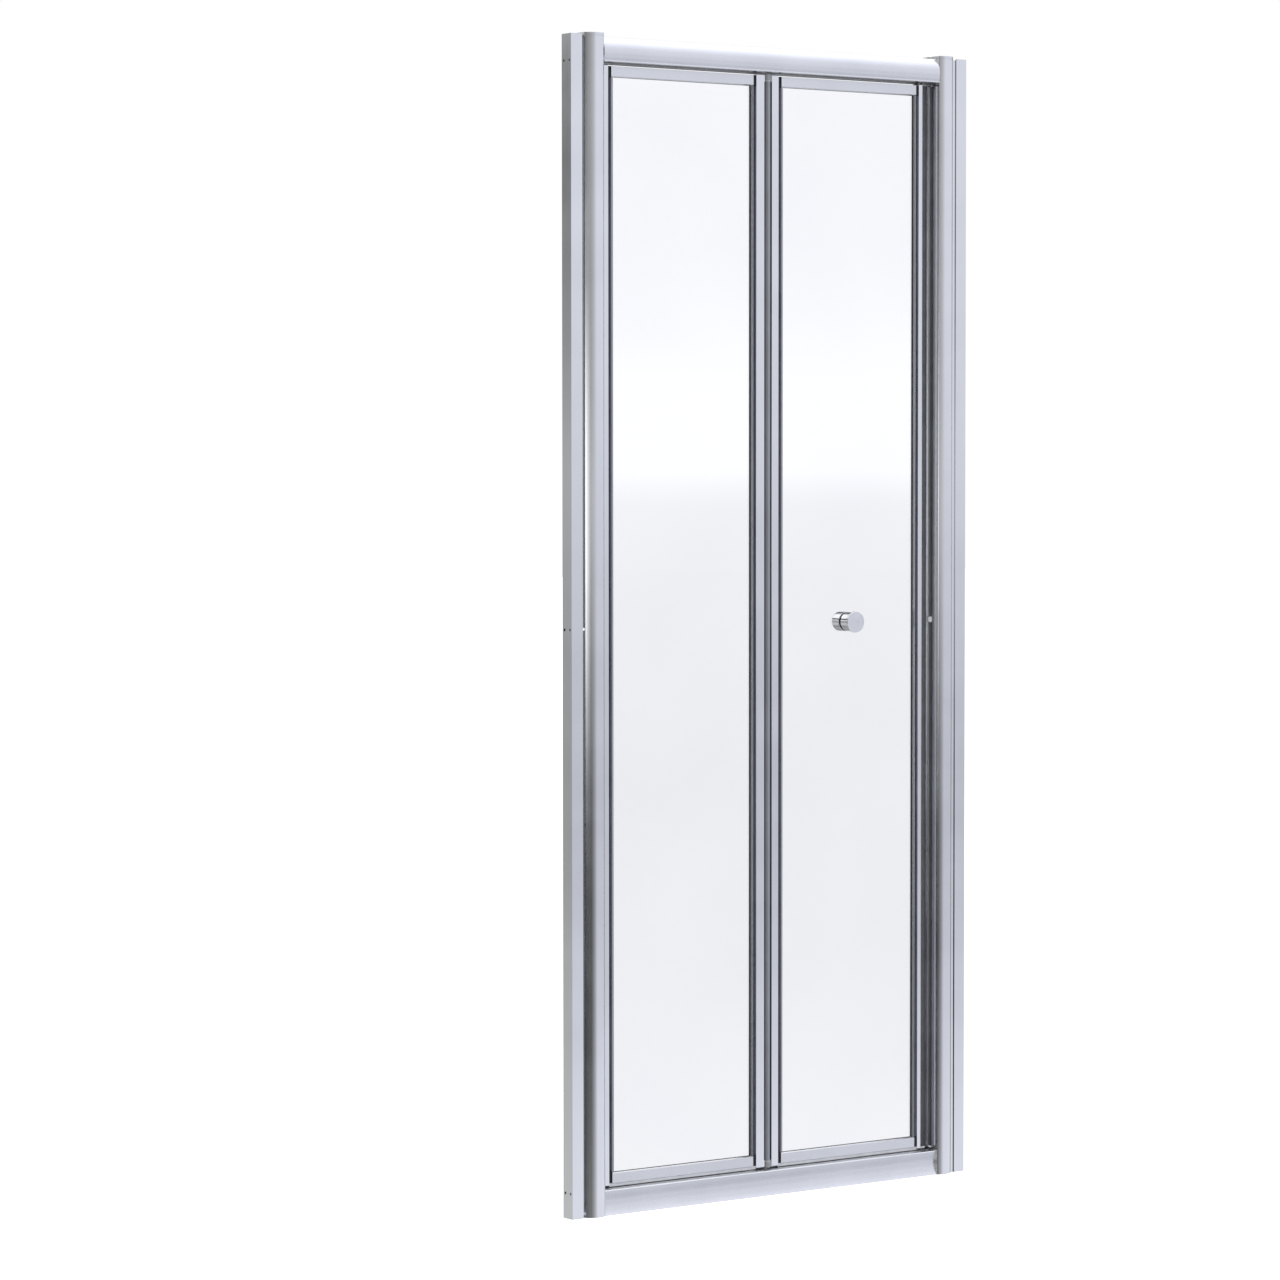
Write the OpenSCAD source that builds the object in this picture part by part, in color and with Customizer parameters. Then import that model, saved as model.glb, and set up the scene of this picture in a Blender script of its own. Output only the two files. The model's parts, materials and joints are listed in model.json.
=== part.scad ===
// Framed bifold shower door: two glazed panels that fold inward between wall profiles.
// X runs along the door, Y into the shower, Z up. The origin is on the floor, in the middle
// of the width, in the front plane of the wall profiles. Sizes are in millimetres.

/* [Overall] */
// Width of the whole door, wall to wall
door_w = 800; // [700:1:1000]
// Height of the frame, without the caps on top of the jambs
door_h = 1850; // [1500:1:2200]

/* [Wall profiles] */
// Width of the U-shaped profile that is screwed to each wall
wall_profile_w = 21.3; // [16:0.1:30]
// Depth of the wall profile, front to back
wall_profile_depth = 25; // [25:0.5:31]
// Thickness of the wall profile's sheet
wall_profile_t = 1.5; // [1:0.1:2]
// How far the wall profile stays below the top of the jamb caps
wall_profile_drop = 3; // [0:0.5:6]
// Radius of the fixing holes
fixing_hole_r = 2.25; // [1.5:0.05:3]
// Distance between the two rows of fixing holes
fixing_row_gap = 14; // [12:0.5:16]
// Height of the lowest and depth below the top of the highest fixing holes
fixing_hole_end = 40; // [25:1:120]

/* [Jambs] */
// Distance from the wall to the jamb's inner face
jamb_reach = 60.8; // [60:0.1:75]
// Width of the jamb between its inner and outer faces
jamb_w = 33.8; // [28:0.1:36]
// Depth of the jamb behind the front plane of the wall profiles
jamb_depth = 40; // [40:0.5:50]
// Radius of the rounded nose
nose_r = 24; // [24:0.5:26]
// How far the nose stands in front of the wall profiles
nose_out = 8; // [6:0.5:10]
// How far the nose's centre lies from the middle of the jamb, towards the doorway
nose_shift = 2.6; // [0:0.1:4]
// Wall thickness of the jamb
jamb_t = 1.6; // [1.2:0.1:2]
// Width of the shallow round groove in the inner face
jamb_groove_w = 17; // [12:0.5:18]
// Depth of the groove
jamb_groove_d = 3; // [1.5:0.1:3.5]
// Depth of the groove's middle behind the front plane of the wall profiles
groove_y = 20.5; // [18:0.5:23]
// Thickness of the tongues that slide in the wall profile
tongue_t = 1.2; // [0.8:0.1:1.5]
// Play between the tongues' ends and the web of the wall profile
tongue_play = 6.5; // [3:0.5:10]
// Thickness of the cap on top of each jamb
jamb_cap_t = 5; // [3:0.5:8]
// Height of the jamb screw and its cap above the floor
jamb_screw_z = 925; // [300:5:1400]

/* [Rails of the frame] */
// Height of the head rail
head_h = 39; // [38:0.5:50]
// Radius of the head rail's rounded front
head_front_r = 40; // [38:0.5:60]
// How far the head rail's front stands out at its fullest
head_out = 5; // [2:0.5:7]
// How far the fullest line of the head rail's front lies below its top
head_full_drop = 24; // [15:0.5:30]
// Height of the bottom rail
sill_h = 40; // [38:0.5:50]
// How far the bottom rail's foot stands out in front
sill_foot = 2.8; // [1:0.1:3]
// How far the bottom rail's top edge stands out in front
sill_top_out = 0.5; // [0:0.1:1]
// Depth of the hollow along the bottom rail's front
sill_hollow = 3.6; // [2:0.1:4.5]
// Depth of both rails behind the front plane of the wall profiles
rail_depth = 38; // [37:0.5:40]
// Wall thickness of both rails
rail_t = 1.6; // [1.2:0.1:2]
// Width of the channel that guides the sliders
channel_w = 10; // [9.5:0.1:11]
// Depth of the channel
channel_d = 14; // [12:0.5:16]
// Thickness of the liner in the head rail's channel
liner_t = 0.9; // [0.6:0.1:1]

/* [Panels] */
// Depth of the panels' front faces behind the front plane of the wall profiles
panel_front = 18; // [17:0.5:19]
// Thickness of the stiles, front to back
stile_depth = 18; // [17:0.5:21.5]
// Width of the pivot stile
pivot_stile_w = 16; // [15:0.5:18]
// Width of the hinge stile on the pivot panel
hinge_stile_w = 16.5; // [15:0.5:20]
// Width of the fold stile on the leading panel
fold_stile_w = 14; // [13:0.5:18]
// Width of the leading stile
lead_stile_w = 12.1; // [11:0.1:13]
// Width of the leading stile's front face
lead_face_w = 8.1; // [7.5:0.1:10]
// How far the leading stile's outer part is set back behind its front face
lead_step = 4.5; // [3:0.1:6]
// Wall thickness of the stiles and panel rails
stile_t = 1.4; // [1:0.1:1.6]
// Gap between the pivot stile and the jamb
pivot_gap = 7.2; // [6.5:0.1:9]
// Gap between the panels' stiles and the frame's rails
end_gap = 3.4; // [3:0.1:5]
// Height of the panel rails
panel_rail_h = 17; // [16:0.5:24]
// Width of the groove between a stile and its glazing channel
stile_groove_w = 5.8; // [4:0.1:7]
// Width of the glazing channel
glazing_w = 5.3; // [5:0.1:6]
// Thickness of the glass
glass_t = 4; // [4:0.5:5]

/* [Fold hinge] */
// Radius of the hinge barrel
barrel_r = 4.5; // [4:0.1:5.4]
// Radius of the hinge rod
hinge_rod_r = 2.4; // [1.8:0.1:2.6]
// Distance of the hinge axis to the left of the middle
hinge_shift = 1.6; // [0:0.1:3]
// Gap between the barrel and the hinge stile
barrel_gap = 1.5; // [1:0.1:3]
// Gap between the barrel and the fold stile
fold_gap = 4.4; // [3:0.1:6]
// Height of the shoes that hold the hinge rod
hinge_shoe_h = 9; // [7:0.5:14]

/* [Pivots and guides] */
// Radius of the pivot pins
pivot_pin_r = 2.5; // [2:0.1:2.6]
// Radius of the guide pins
guide_pin_r = 2; // [1.6:0.1:2.2]
// Distance from the leading stile's glass side to the guide pins' axis
guide_pin_in = 7.5; // [6.5:0.1:8]
// Length of the sliders along the channel
slider_len = 22; // [16:1:30]

/* [Knob] */
// Radius of the outer knob's flared end
knob_end_r = 17.4; // [16.5:0.1:22]
// Radius of the outer knob's barrel
knob_barrel_r = 15.4; // [13:0.1:16]
// Radius of the inner knob
knob_in_r = 15.8; // [13:0.1:20]
// Length of the outer knob from the glass
knob_out_len = 22; // [18:0.5:26]
// Length of the inner knob from the glass
knob_in_len = 19.5; // [16:0.5:24]
// Radius of the threaded stud through the glass
spindle_r = 3; // [2.5:0.1:4]
// Height of the knob's axis above the floor
knob_z = 925; // [700:5:1200]

/* [Fasteners] */
// Radius of the screws that hold the frame's rails
rail_screw_r = 1.9; // [1.8:0.1:2.2]
// Radius of their heads
rail_screw_head_r = 3.5; // [3:0.1:4]
// How far they reach into the rail
rail_screw_len = 25; // [12:1:40]
// Radius of the screws that hold a panel's corners
corner_screw_r = 1.6; // [1.4:0.1:1.8]
// Radius of their heads
corner_screw_head_r = 2.8; // [2.4:0.1:3]
// Radius of the jamb screw at mid-height
jamb_screw_r = 2; // [1.6:0.1:2.2]
// Radius of its head
jamb_screw_head_r = 3.6; // [3:0.1:3.8]
// Radius of the snap-on cover over it
screw_cap_r = 5; // [4.6:0.1:5.4]

/* [Hidden] */
$fn = 96;
// Running clearance of a pin in its bore, and of a plug in its tube
pin_clear = 0.05;
plug_clear = 0.25;
// Gap between flat sliding faces
slide_clear = 0.3;
// Small chamfer on the edges of the stiles
edge = 0.6;
// Amount by which a cutting shape reaches past what it cuts
over = 1;
// Gap between a round piece and the curved face or bore that it is fixed to
touch = 0.02;
// How far the parts of one piece run into each other
weld = 0.2;

half_w = door_w / 2;
jamb_inner = half_w - jamb_reach;
jamb_outer = jamb_inner + jamb_w;
wall_profile_edge = half_w - wall_profile_w;
wall_profile_h = door_h + jamb_cap_t - wall_profile_drop;
fixing_y = wall_profile_depth / 2;
fixing_z = [fixing_hole_end, door_h / 2, door_h - fixing_hole_end];

// Nose circle of the jamb, seen from above on the right-hand side
nose_x = (jamb_inner + jamb_outer) / 2 - nose_shift;
nose_y = nose_r - nose_out;
// Groove circle in the jamb's inner face
groove_r = (pow(jamb_groove_w / 2, 2) + pow(jamb_groove_d, 2)) / (2 * jamb_groove_d);
groove_x = jamb_inner + jamb_groove_d - groove_r;
tongue_end = half_w - wall_profile_t - tongue_play;
// Height of the cap's plug inside the jamb
cap_plug_h = 6;
// The jamb screw's head stands on the groove's flanks, under a thin cover
jamb_head_t = 1.2;
jamb_head_seat = groove_x + sqrt(pow(groove_r, 2) - pow(jamb_screw_head_r, 2)) - touch;
screw_cap_t = 0.9;
screw_cap_start = jamb_head_seat - jamb_head_t - screw_cap_t;

// Head rail and bottom rail; the bottom rail's front is an arc between foot and top edge
head_bottom = door_h - head_h;
head_r_z = door_h - head_full_drop;
head_r_y = head_front_r - head_out;
sill_edge_t = 1;
sill_edge_z = sill_h - sill_edge_t;
sill_run = sill_foot - sill_top_out;
sill_chord = norm([sill_run, sill_edge_z]);
sill_front_r = (pow(sill_chord / 2, 2) + pow(sill_hollow, 2)) / (2 * sill_hollow);
sill_reach = sill_front_r - sill_hollow;
sill_r_y = -(sill_foot + sill_top_out) / 2 - sill_reach * sill_edge_z / sill_chord;
sill_r_z = sill_edge_z / 2 + sill_reach * sill_run / sill_chord;
// Round ports for the rail screws
port_r = 3.4;
port_bore_r = 1.6;
port_edge = 12;
port_front_y = 7;
port_back_y = rail_depth - rail_t - port_r;
head_port_z = door_h - port_edge;
sill_port_z = port_edge;

// Pivot, hinge and guide axes; the guide axis mirrors the pivot axis about the hinge axis
track_y = panel_front + stile_depth / 2;
pivot_edge = -(jamb_inner - pivot_gap);
pivot_x = pivot_edge + pivot_stile_w / 2;
hinge_x = -hinge_shift;
hinge_y = panel_front;
guide_x = 2 * hinge_x - pivot_x;
panel_back = panel_front + stile_depth;

// Stiles along X
pivot_stile_in = pivot_edge + pivot_stile_w;
hinge_stile_out = hinge_x - barrel_r - barrel_gap;
hinge_stile_in = hinge_stile_out - hinge_stile_w;
fold_stile_out = hinge_x + barrel_r + fold_gap;
fold_stile_in = fold_stile_out + fold_stile_w;
lead_stile_in = guide_x - guide_pin_in;
lead_face_end = lead_stile_in + lead_face_w;
lead_stile_out = lead_stile_in + lead_stile_w;
lead_step_y = panel_front + lead_step;

// Heights of the panel parts; the rails stay short of the stiles' ends
rail_low_set = 3;
rail_high_set = 1;
stile_bottom = sill_h + end_gap;
stile_top = head_bottom - end_gap;
rail_low = stile_bottom + rail_low_set;
rail_low_top = rail_low + panel_rail_h;
rail_high_top = stile_top - rail_high_set;
rail_high = rail_high_top - panel_rail_h;

// Glazing channel, as depths behind the front face of the panel
gasket_t = 1.1;
gasket_edge_t = 0.5;
bead_drop = 2.2;
pocket_front = 3.2;
pocket_back = pocket_front + glass_t + 2 * gasket_t;
lip_back = pocket_back + stile_t;
channel_web_t = 1.1;
pocket_depth = glazing_w - channel_web_t;
glass_bite = pocket_depth - gasket_edge_t;
glass_front = panel_front + pocket_front + gasket_t;

// Corner screws of the panels, in the rails' hollow halves
corner_screw_y = track_y + 1;
corner_screw_set = 2;
corner_screw_z = [rail_low + panel_rail_h / 2 - corner_screw_set,
    rail_high + panel_rail_h / 2 + corner_screw_set];
corner_head_t = 1.8;
corner_core_r = corner_screw_r - 0.4;
corner_screw_len = stile_groove_w - 1;

// Magnetic strips between the leading stile and the jamb
magnet_gap = 1.2;
magnet_depth = 8;
magnet_shoulder = 1.4;
door_magnet_w = 5.1;
jamb_magnet_w = 4.2;
door_magnet_end = lead_stile_out + door_magnet_w;
jamb_magnet_start = door_magnet_end + magnet_gap;

// Barrel of the hinge between the two shoes
washer_t = 0.8;
washer_gap = 0.1;
barrel_low = stile_bottom + hinge_shoe_h + washer_t + 2 * washer_gap;
barrel_high = stile_top - hinge_shoe_h - washer_t - 2 * washer_gap;

knob_x = (fold_stile_in + lead_stile_in) / 2;
knob_gasket_t = 1;
knob_hole_r = spindle_r + 2;
spindle_in_knob = 10;

// Pivot fittings
bush_wall = 1.1;
block_len = 24;
block_h = channel_d - 2;
shoe_plate_t = 1.4;
plate_set = 1;
shoe_plug_h = 22;
pin_in_shoe = 18;
pin_in_block = 9;
collar_r = 4.2;
block_set = 0.5;
slider_set = 1;

// ---- helpers ----

// A rectangle between two corners, with its corners cut at 45 degrees by c
module bar(x0, y0, x1, y1, c = 0) {
    if (c > 0)
        polygon([
            [x0 + c, y0], [x1 - c, y0], [x1, y0 + c], [x1, y1 - c],
            [x1 - c, y1], [x0 + c, y1], [x0, y1 - c], [x0, y0 + c]
        ]);
    else
        translate([x0, y0]) square([x1 - x0, y1 - y0]);
}

// A block between two corners
module block(x0, y0, z0, x1, y1, z1) {
    translate([x0, y0, z0]) cube([x1 - x0, y1 - y0, z1 - z0]);
}

// Stands a plan outline up between two heights
module upright(z0, z1) {
    translate([0, 0, z0]) linear_extrude(z1 - z0) children();
}

// Runs an outline, drawn with Y to its right and Z up, along X
module along(x0, x1) {
    translate([x0, 0, 0]) rotate([90, 0, 90]) linear_extrude(x1 - x0) children();
}

// A rod along Z
module rod(x, y, z0, z1, r) {
    translate([x, y, z0]) cylinder(h = z1 - z0, r = r);
}

// A rod along X
module cross_rod(x0, x1, y, z, r) {
    translate([x0, y, z]) rotate([0, 90, 0]) cylinder(h = x1 - x0, r = r);
}

// Copies a right-hand piece to the left
module left_hand() {
    mirror([1, 0, 0]) children();
}

// ---- frame: wall profiles and jambs ----

module wall_profile() {
    color("silver") difference() {
        upright(0, wall_profile_h) difference() {
            bar(wall_profile_edge, 0, half_w, wall_profile_depth);
            bar(wall_profile_edge - over, wall_profile_t, half_w - wall_profile_t,
                wall_profile_depth - wall_profile_t);
        }
        for (z = fixing_z, side = [-1, 1])
            cross_rod(half_w - wall_profile_t - over, half_w + over,
                fixing_y + side * fixing_row_gap / 2, z, fixing_hole_r);
    }
}

// Plan outline of the jamb, shrunk all round by inset
module jamb_outline(inset) {
    intersection() {
        union() {
            translate([nose_x, nose_y]) circle(nose_r - inset);
            bar(jamb_inner, nose_y, jamb_outer, jamb_depth);
        }
        bar(jamb_inner + inset, -nose_out, jamb_outer - inset, jamb_depth - inset);
    }
}

// Space inside the jamb, shrunk by gap for a plug that fits it
module jamb_cavity(gap) {
    difference() {
        jamb_outline(jamb_t + gap);
        translate([groove_x, groove_y]) circle(groove_r + jamb_t + gap);
    }
}

module jamb() {
    inner_gap = wall_profile_t + slide_clear;
    wall_reach = jamb_t + jamb_groove_d;
    access_r = rail_screw_head_r + 1;
    color("lightsteelblue") difference() {
        upright(0, door_h) union() {
            difference() {
                jamb_outline(0);
                jamb_cavity(0);
                translate([groove_x, groove_y]) circle(groove_r);
            }
            bar(jamb_outer - jamb_t / 2, inner_gap, tongue_end, inner_gap + tongue_t);
            bar(jamb_outer - jamb_t / 2, wall_profile_depth - inner_gap - tongue_t,
                tongue_end, wall_profile_depth - inner_gap);
        }
        // Clearance holes for the rail screws, with access holes in the outer wall
        for (y = [port_front_y, port_back_y], z = [sill_port_z, head_port_z]) {
            cross_rod(jamb_inner - over, jamb_inner + wall_reach, y, z, rail_screw_r + pin_clear);
            cross_rod(jamb_outer - wall_reach, jamb_outer + over, y, z, access_r);
        }
        cross_rod(jamb_inner - over, jamb_outer + over, groove_y, jamb_screw_z,
            jamb_screw_r + pin_clear);
    }
}

module jamb_cap() {
    color("lightsteelblue") union() {
        upright(door_h, door_h + jamb_cap_t) difference() {
            jamb_outline(0);
            translate([groove_x, groove_y]) circle(groove_r);
        }
        upright(door_h - cap_plug_h, door_h) jamb_cavity(plug_clear);
    }
}

// Screw that ties the jamb together at mid-height, its head in the groove
module jamb_screw() {
    tip = 0.5;
    color("silver") union() {
        cross_rod(jamb_head_seat, jamb_outer + tip, groove_y, jamb_screw_z, jamb_screw_r);
        cross_rod(jamb_head_seat - jamb_head_t, jamb_head_seat, groove_y, jamb_screw_z,
            jamb_screw_head_r);
    }
}

// Snap-on cover of the jamb screw, its rim trimmed to the groove
module screw_cap() {
    rim_gap = 0.1;
    trim_h = 2 * screw_cap_r + 4 * over;
    trim_r = groove_r + 2 * screw_cap_r;
    color("white") difference() {
        translate([screw_cap_start, groove_y, jamb_screw_z]) rotate([0, 90, 0])
            cylinder(h = screw_cap_t + jamb_head_t, r1 = screw_cap_r - 1, r2 = screw_cap_r);
        cross_rod(screw_cap_start + screw_cap_t, jamb_outer, groove_y, jamb_screw_z,
            jamb_screw_head_r + pin_clear);
        translate([groove_x, groove_y, jamb_screw_z]) difference() {
            cylinder(h = trim_h, r = trim_r, center = true);
            cylinder(h = trim_h + over, r = groove_r - rim_gap, center = true);
        }
    }
}

// ---- frame: head rail and bottom rail ----

// Outline of the guide channel's walls, open towards -Z at height z, drawn in the YZ plane
module channel_walls(z) {
    bar(track_y - channel_w / 2 - rail_t, z, track_y + channel_w / 2 + rail_t,
        z + channel_d + rail_t);
}

module channel_slot(z) {
    bar(track_y - channel_w / 2, z - over, track_y + channel_w / 2, z + channel_d);
}

// Two screw ports at height z, on a web from the front wall to the back wall
module screw_ports(z) {
    bar(-head_out, z - rail_t / 2, rail_depth, z + rail_t / 2);
    for (y = [port_front_y, port_back_y]) translate([y, z]) circle(port_r);
}

module port_bores(z) {
    for (y = [port_front_y, port_back_y]) translate([y, z]) circle(port_bore_r);
}

// Outline of the head rail without its channel, shrunk by inset
module head_outline(inset) {
    intersection() {
        translate([head_r_y, head_r_z]) circle(head_front_r - inset);
        bar(-head_out - over, head_bottom + inset, rail_depth - inset, door_h - inset);
    }
}

module head_rail() {
    color("silver") along(-jamb_inner, jamb_inner) difference() {
        union() {
            head_outline(0);
            // Lip along the lower front edge
            bar(-head_out, head_bottom, rail_t, head_bottom + rail_t);
        }
        difference() {
            head_outline(rail_t);
            channel_walls(head_bottom);
            screw_ports(head_port_z);
        }
        channel_slot(head_bottom);
        port_bores(head_port_z);
    }
}

// Outline of the bottom rail, its front hollowed by a large circle
module sill_outline(inset) {
    difference() {
        bar(-sill_foot + inset, inset, rail_depth - inset, sill_h - inset);
        translate([sill_r_y, sill_r_z]) circle(sill_front_r + inset, $fn = 360);
        bar(-sill_foot - over, sill_edge_z - over, inset - sill_top_out, sill_h + over);
    }
}

module bottom_rail() {
    color("silver") along(-jamb_inner, jamb_inner) difference() {
        sill_outline(0);
        difference() {
            sill_outline(rail_t);
            translate([0, sill_h]) mirror([0, 1]) channel_walls(0);
            screw_ports(sill_port_z);
        }
        translate([0, sill_h]) mirror([0, 1]) channel_slot(0);
        port_bores(sill_port_z);
    }
}

// Self-tapping screws from inside the jambs into the ends of a rail
module rail_screws(z) {
    head_t = 2.4;
    for (side = [0, 1], y = [port_front_y, port_back_y])
        mirror([side, 0, 0]) color("gray") union() {
            cross_rod(jamb_inner + jamb_t, jamb_inner + jamb_t + head_t, y, z, rail_screw_head_r);
            cross_rod(jamb_inner, jamb_inner + jamb_t, y, z, rail_screw_r);
            cross_rod(jamb_inner - rail_screw_len, jamb_inner, y, z, port_bore_r - touch);
        }
}

// Low-friction lining in the head rail's channel
module track_liner() {
    half = channel_w / 2;
    top = head_bottom + channel_d;
    low = head_bottom + 3;
    start = -jamb_inner + block_len + slide_clear;
    color("white") along(start, jamb_inner) difference() {
        bar(track_y - half, low, track_y + half, top);
        bar(track_y - half + liner_t, low - over, track_y + half - liner_t, top - liner_t);
    }
}

// ---- frame: pivots and seals ----

// Nylon block that fills the end of a channel and holds the pivot bush
module pivot_block(z0, z1) {
    half = channel_w / 2 - 2 * pin_clear;
    color("dimgray") difference() {
        block(-jamb_inner, track_y - half, z0, -jamb_inner + block_len, track_y + half, z1);
        rod(pivot_x, track_y, z0 - over, z1 + over, pivot_pin_r + bush_wall);
    }
}

module pivot_bush(z0, z1) {
    color("burlywood") difference() {
        rod(pivot_x, track_y, z0, z1, pivot_pin_r + bush_wall - touch / 2);
        rod(pivot_x, track_y, z0 - over, z1 + over, pivot_pin_r + pin_clear);
    }
}

// Magnetic strip on the closing jamb
module jamb_magnet_seal() {
    back = panel_back + 2;
    front = back - magnet_depth;
    foot = jamb_magnet_start + jamb_magnet_w;
    color("gray") upright(stile_bottom, stile_top) union() {
        bar(jamb_magnet_start, front, foot, back, edge);
        bar(foot - weld, front + magnet_shoulder, jamb_inner, back - magnet_shoulder);
    }
}

// Soft fin that closes the gap beside the pivot stile
module jamb_fin_seal() {
    base_t = 1.5;
    base_half = 3;
    fin_len = 1.5;
    fin_half = 0.4;
    start = -jamb_inner + base_t;
    color("gray") upright(stile_bottom, stile_top) union() {
        bar(-jamb_inner, panel_back - base_half, start, panel_back + base_half);
        bar(start, panel_back - fin_half, start + fin_len, panel_back + fin_half);
    }
}

// ---- panel parts ----

// Glazing channel whose stile face is at x = 0 and whose mouth opens towards +X
module glazing_channel() {
    front = panel_front;
    mouth = stile_groove_w + glazing_w;
    nib = 0.6;
    difference() {
        union() {
            polygon([
                [stile_groove_w, front], [stile_groove_w + nib, front],
                [mouth, front + bead_drop], [mouth, front + lip_back],
                [stile_groove_w, front + lip_back]
            ]);
            bar(-stile_t / 2, front + pocket_back, stile_groove_w + over, front + lip_back);
        }
        bar(stile_groove_w + channel_web_t, front + pocket_front, mouth + over,
            front + pocket_back);
    }
}

// Hollow stile between two edges along X
module stile_tube(x0, x1) {
    difference() {
        bar(x0, panel_front, x1, panel_back, edge);
        bar(x0 + stile_t, panel_front + stile_t, x1 - stile_t, panel_back - stile_t);
    }
}

// Glazing channel of a stile, between the panel rails; dir is 1 when the glass is to the right
module stile_channel(x, dir) {
    upright(rail_low_top, rail_high) translate([x, 0]) mirror([dir > 0 ? 0 : 1, 0]) glazing_channel();
}

// Clearance holes through a stile's glass-side wall for the corner screws
module corner_screw_holes(x) {
    reach = stile_t + weld;
    for (z = corner_screw_z)
        cross_rod(x - reach, x + reach, corner_screw_y, z, corner_screw_r + pin_clear);
}

module pivot_stile() {
    color("silver") difference() {
        union() {
            upright(stile_bottom, stile_top) stile_tube(pivot_edge, pivot_stile_in);
            stile_channel(pivot_stile_in, 1);
        }
        corner_screw_holes(pivot_stile_in);
    }
}

module hinge_stile() {
    neck_set = 1.4;
    neck_t = 2;
    neck_y = hinge_y + neck_set;
    color("silver") difference() {
        union() {
            upright(stile_bottom, stile_top) stile_tube(hinge_stile_in, hinge_stile_out);
            stile_channel(hinge_stile_in, -1);
            upright(barrel_low, barrel_high) union() {
                translate([hinge_x, hinge_y]) circle(barrel_r);
                bar(hinge_stile_out - stile_t / 2, neck_y, hinge_x, neck_y + neck_t);
            }
        }
        rod(hinge_x, hinge_y, barrel_low - over, barrel_high + over, hinge_rod_r + pin_clear);
        corner_screw_holes(hinge_stile_in);
    }
}

module fold_stile() {
    color("silver") difference() {
        union() {
            upright(stile_bottom, stile_top) stile_tube(fold_stile_out, fold_stile_in);
            stile_channel(fold_stile_in, 1);
        }
        corner_screw_holes(fold_stile_in);
    }
}

// Leading stile: a narrow front face, stepped back beside the magnetic strip
module leading_stile() {
    color("silver") difference() {
        union() {
            upright(stile_bottom, stile_top) difference() {
                polygon([
                    [lead_stile_in + edge, panel_front], [lead_face_end - edge, panel_front],
                    [lead_face_end, panel_front + edge], [lead_face_end, lead_step_y],
                    [lead_stile_out, lead_step_y], [lead_stile_out, panel_back - edge],
                    [lead_stile_out - edge, panel_back], [lead_stile_in + edge, panel_back],
                    [lead_stile_in, panel_back - edge], [lead_stile_in, panel_front + edge]
                ]);
                lead_cavity(0);
            }
            stile_channel(lead_stile_in, -1);
        }
        corner_screw_holes(lead_stile_in);
    }
}

// Space inside the leading stile, shrunk by gap for the shoes
module lead_cavity(gap) {
    t = stile_t + gap;
    bar(lead_stile_in + t, panel_front + t, lead_face_end - t, lead_step_y + t);
    bar(lead_stile_in + t, lead_step_y + t, lead_stile_out - t, panel_back - t);
}

// Outline of a panel rail in the YZ plane: z0 is the edge away from the glass, and the
// glass lies towards +Z
module panel_rail_outline(z0) {
    front = panel_front;
    top = z0 + panel_rail_h;
    floor_z = top - pocket_depth;
    bead_rise = 1.4;
    difference() {
        polygon([
            [front, z0], [front, top - bead_rise], [front + bead_drop, top],
            [front + lip_back, top], [front + lip_back, z0]
        ]);
        bar(front + pocket_front, floor_z, front + pocket_back, top + over);
        bar(front + stile_t, z0 + stile_t, front + lip_back - stile_t, floor_z - stile_t);
    }
}

module panel_bottom_rail(x0, x1) {
    color("silver") along(x0, x1) panel_rail_outline(rail_low);
}

module panel_top_rail(x0, x1) {
    color("silver") along(x0, x1) translate([0, rail_high_top]) mirror([0, 1])
        translate([0, -rail_low]) panel_rail_outline(rail_low);
}

// A pane between two stile faces
module pane(x0, x1) {
    side = stile_groove_w + glazing_w - glass_bite;
    block(x0 + side, glass_front, rail_low_top - glass_bite,
        x1 - side, glass_front + glass_t, rail_high + glass_bite);
}

// Gasket that wraps the edge of a pane all round
module gasket(x0, x1) {
    side = stile_groove_w + channel_web_t;
    sight = stile_groove_w + glazing_w;
    front = panel_front + pocket_front;
    back = panel_front + pocket_back;
    color("black") difference() {
        block(x0 + side, front, rail_low_top - pocket_depth,
            x1 - side, back, rail_high + pocket_depth);
        block(x0 + sight, front - over, rail_low_top, x1 - sight, back + over, rail_high);
        pane(x0, x1);
    }
}

// Nylon blocks that bridge the grooves between a panel's stiles and rails, with tenons in the rails
module corner_blocks(x0, x1) {
    t = stile_t + plug_clear;
    front = panel_front + stile_t + edge;
    back = panel_front + lip_back;
    hollow_h = panel_rail_h - pocket_depth - 2 * stile_t;
    tenon_len = 16;
    for (dir = [1, -1], top = [0, 1]) {
        x = dir > 0 ? x0 : x1;
        z = top ? rail_high_top : rail_low;
        translate([x, 0, z]) mirror([dir > 0 ? 0 : 1, 0, 0]) mirror([0, 0, top])
            color("black") difference() {
                union() {
                    block(0, front, 0, stile_groove_w, back, panel_rail_h);
                    block(stile_groove_w, panel_front + t, t, stile_groove_w + tenon_len,
                        panel_front + lip_back - t, stile_t + hollow_h - plug_clear);
                }
                cross_rod(-over, corner_screw_len + plug_clear, corner_screw_y,
                    corner_screw_z[0] - rail_low, corner_core_r + pin_clear);
            }
    }
}

// Screws from inside a stile into the corner blocks
module corner_screws(x0, x1) {
    for (dir = [1, -1], z = corner_screw_z) {
        x = dir > 0 ? x0 : x1;
        translate([x, 0, 0]) mirror([dir > 0 ? 0 : 1, 0, 0]) color("gray") union() {
            cross_rod(-stile_t - corner_head_t, -stile_t, corner_screw_y, z, corner_screw_head_r);
            cross_rod(-stile_t, 0, corner_screw_y, z, corner_screw_r);
            cross_rod(0, corner_screw_len, corner_screw_y, z, corner_core_r);
        }
    }
}

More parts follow.
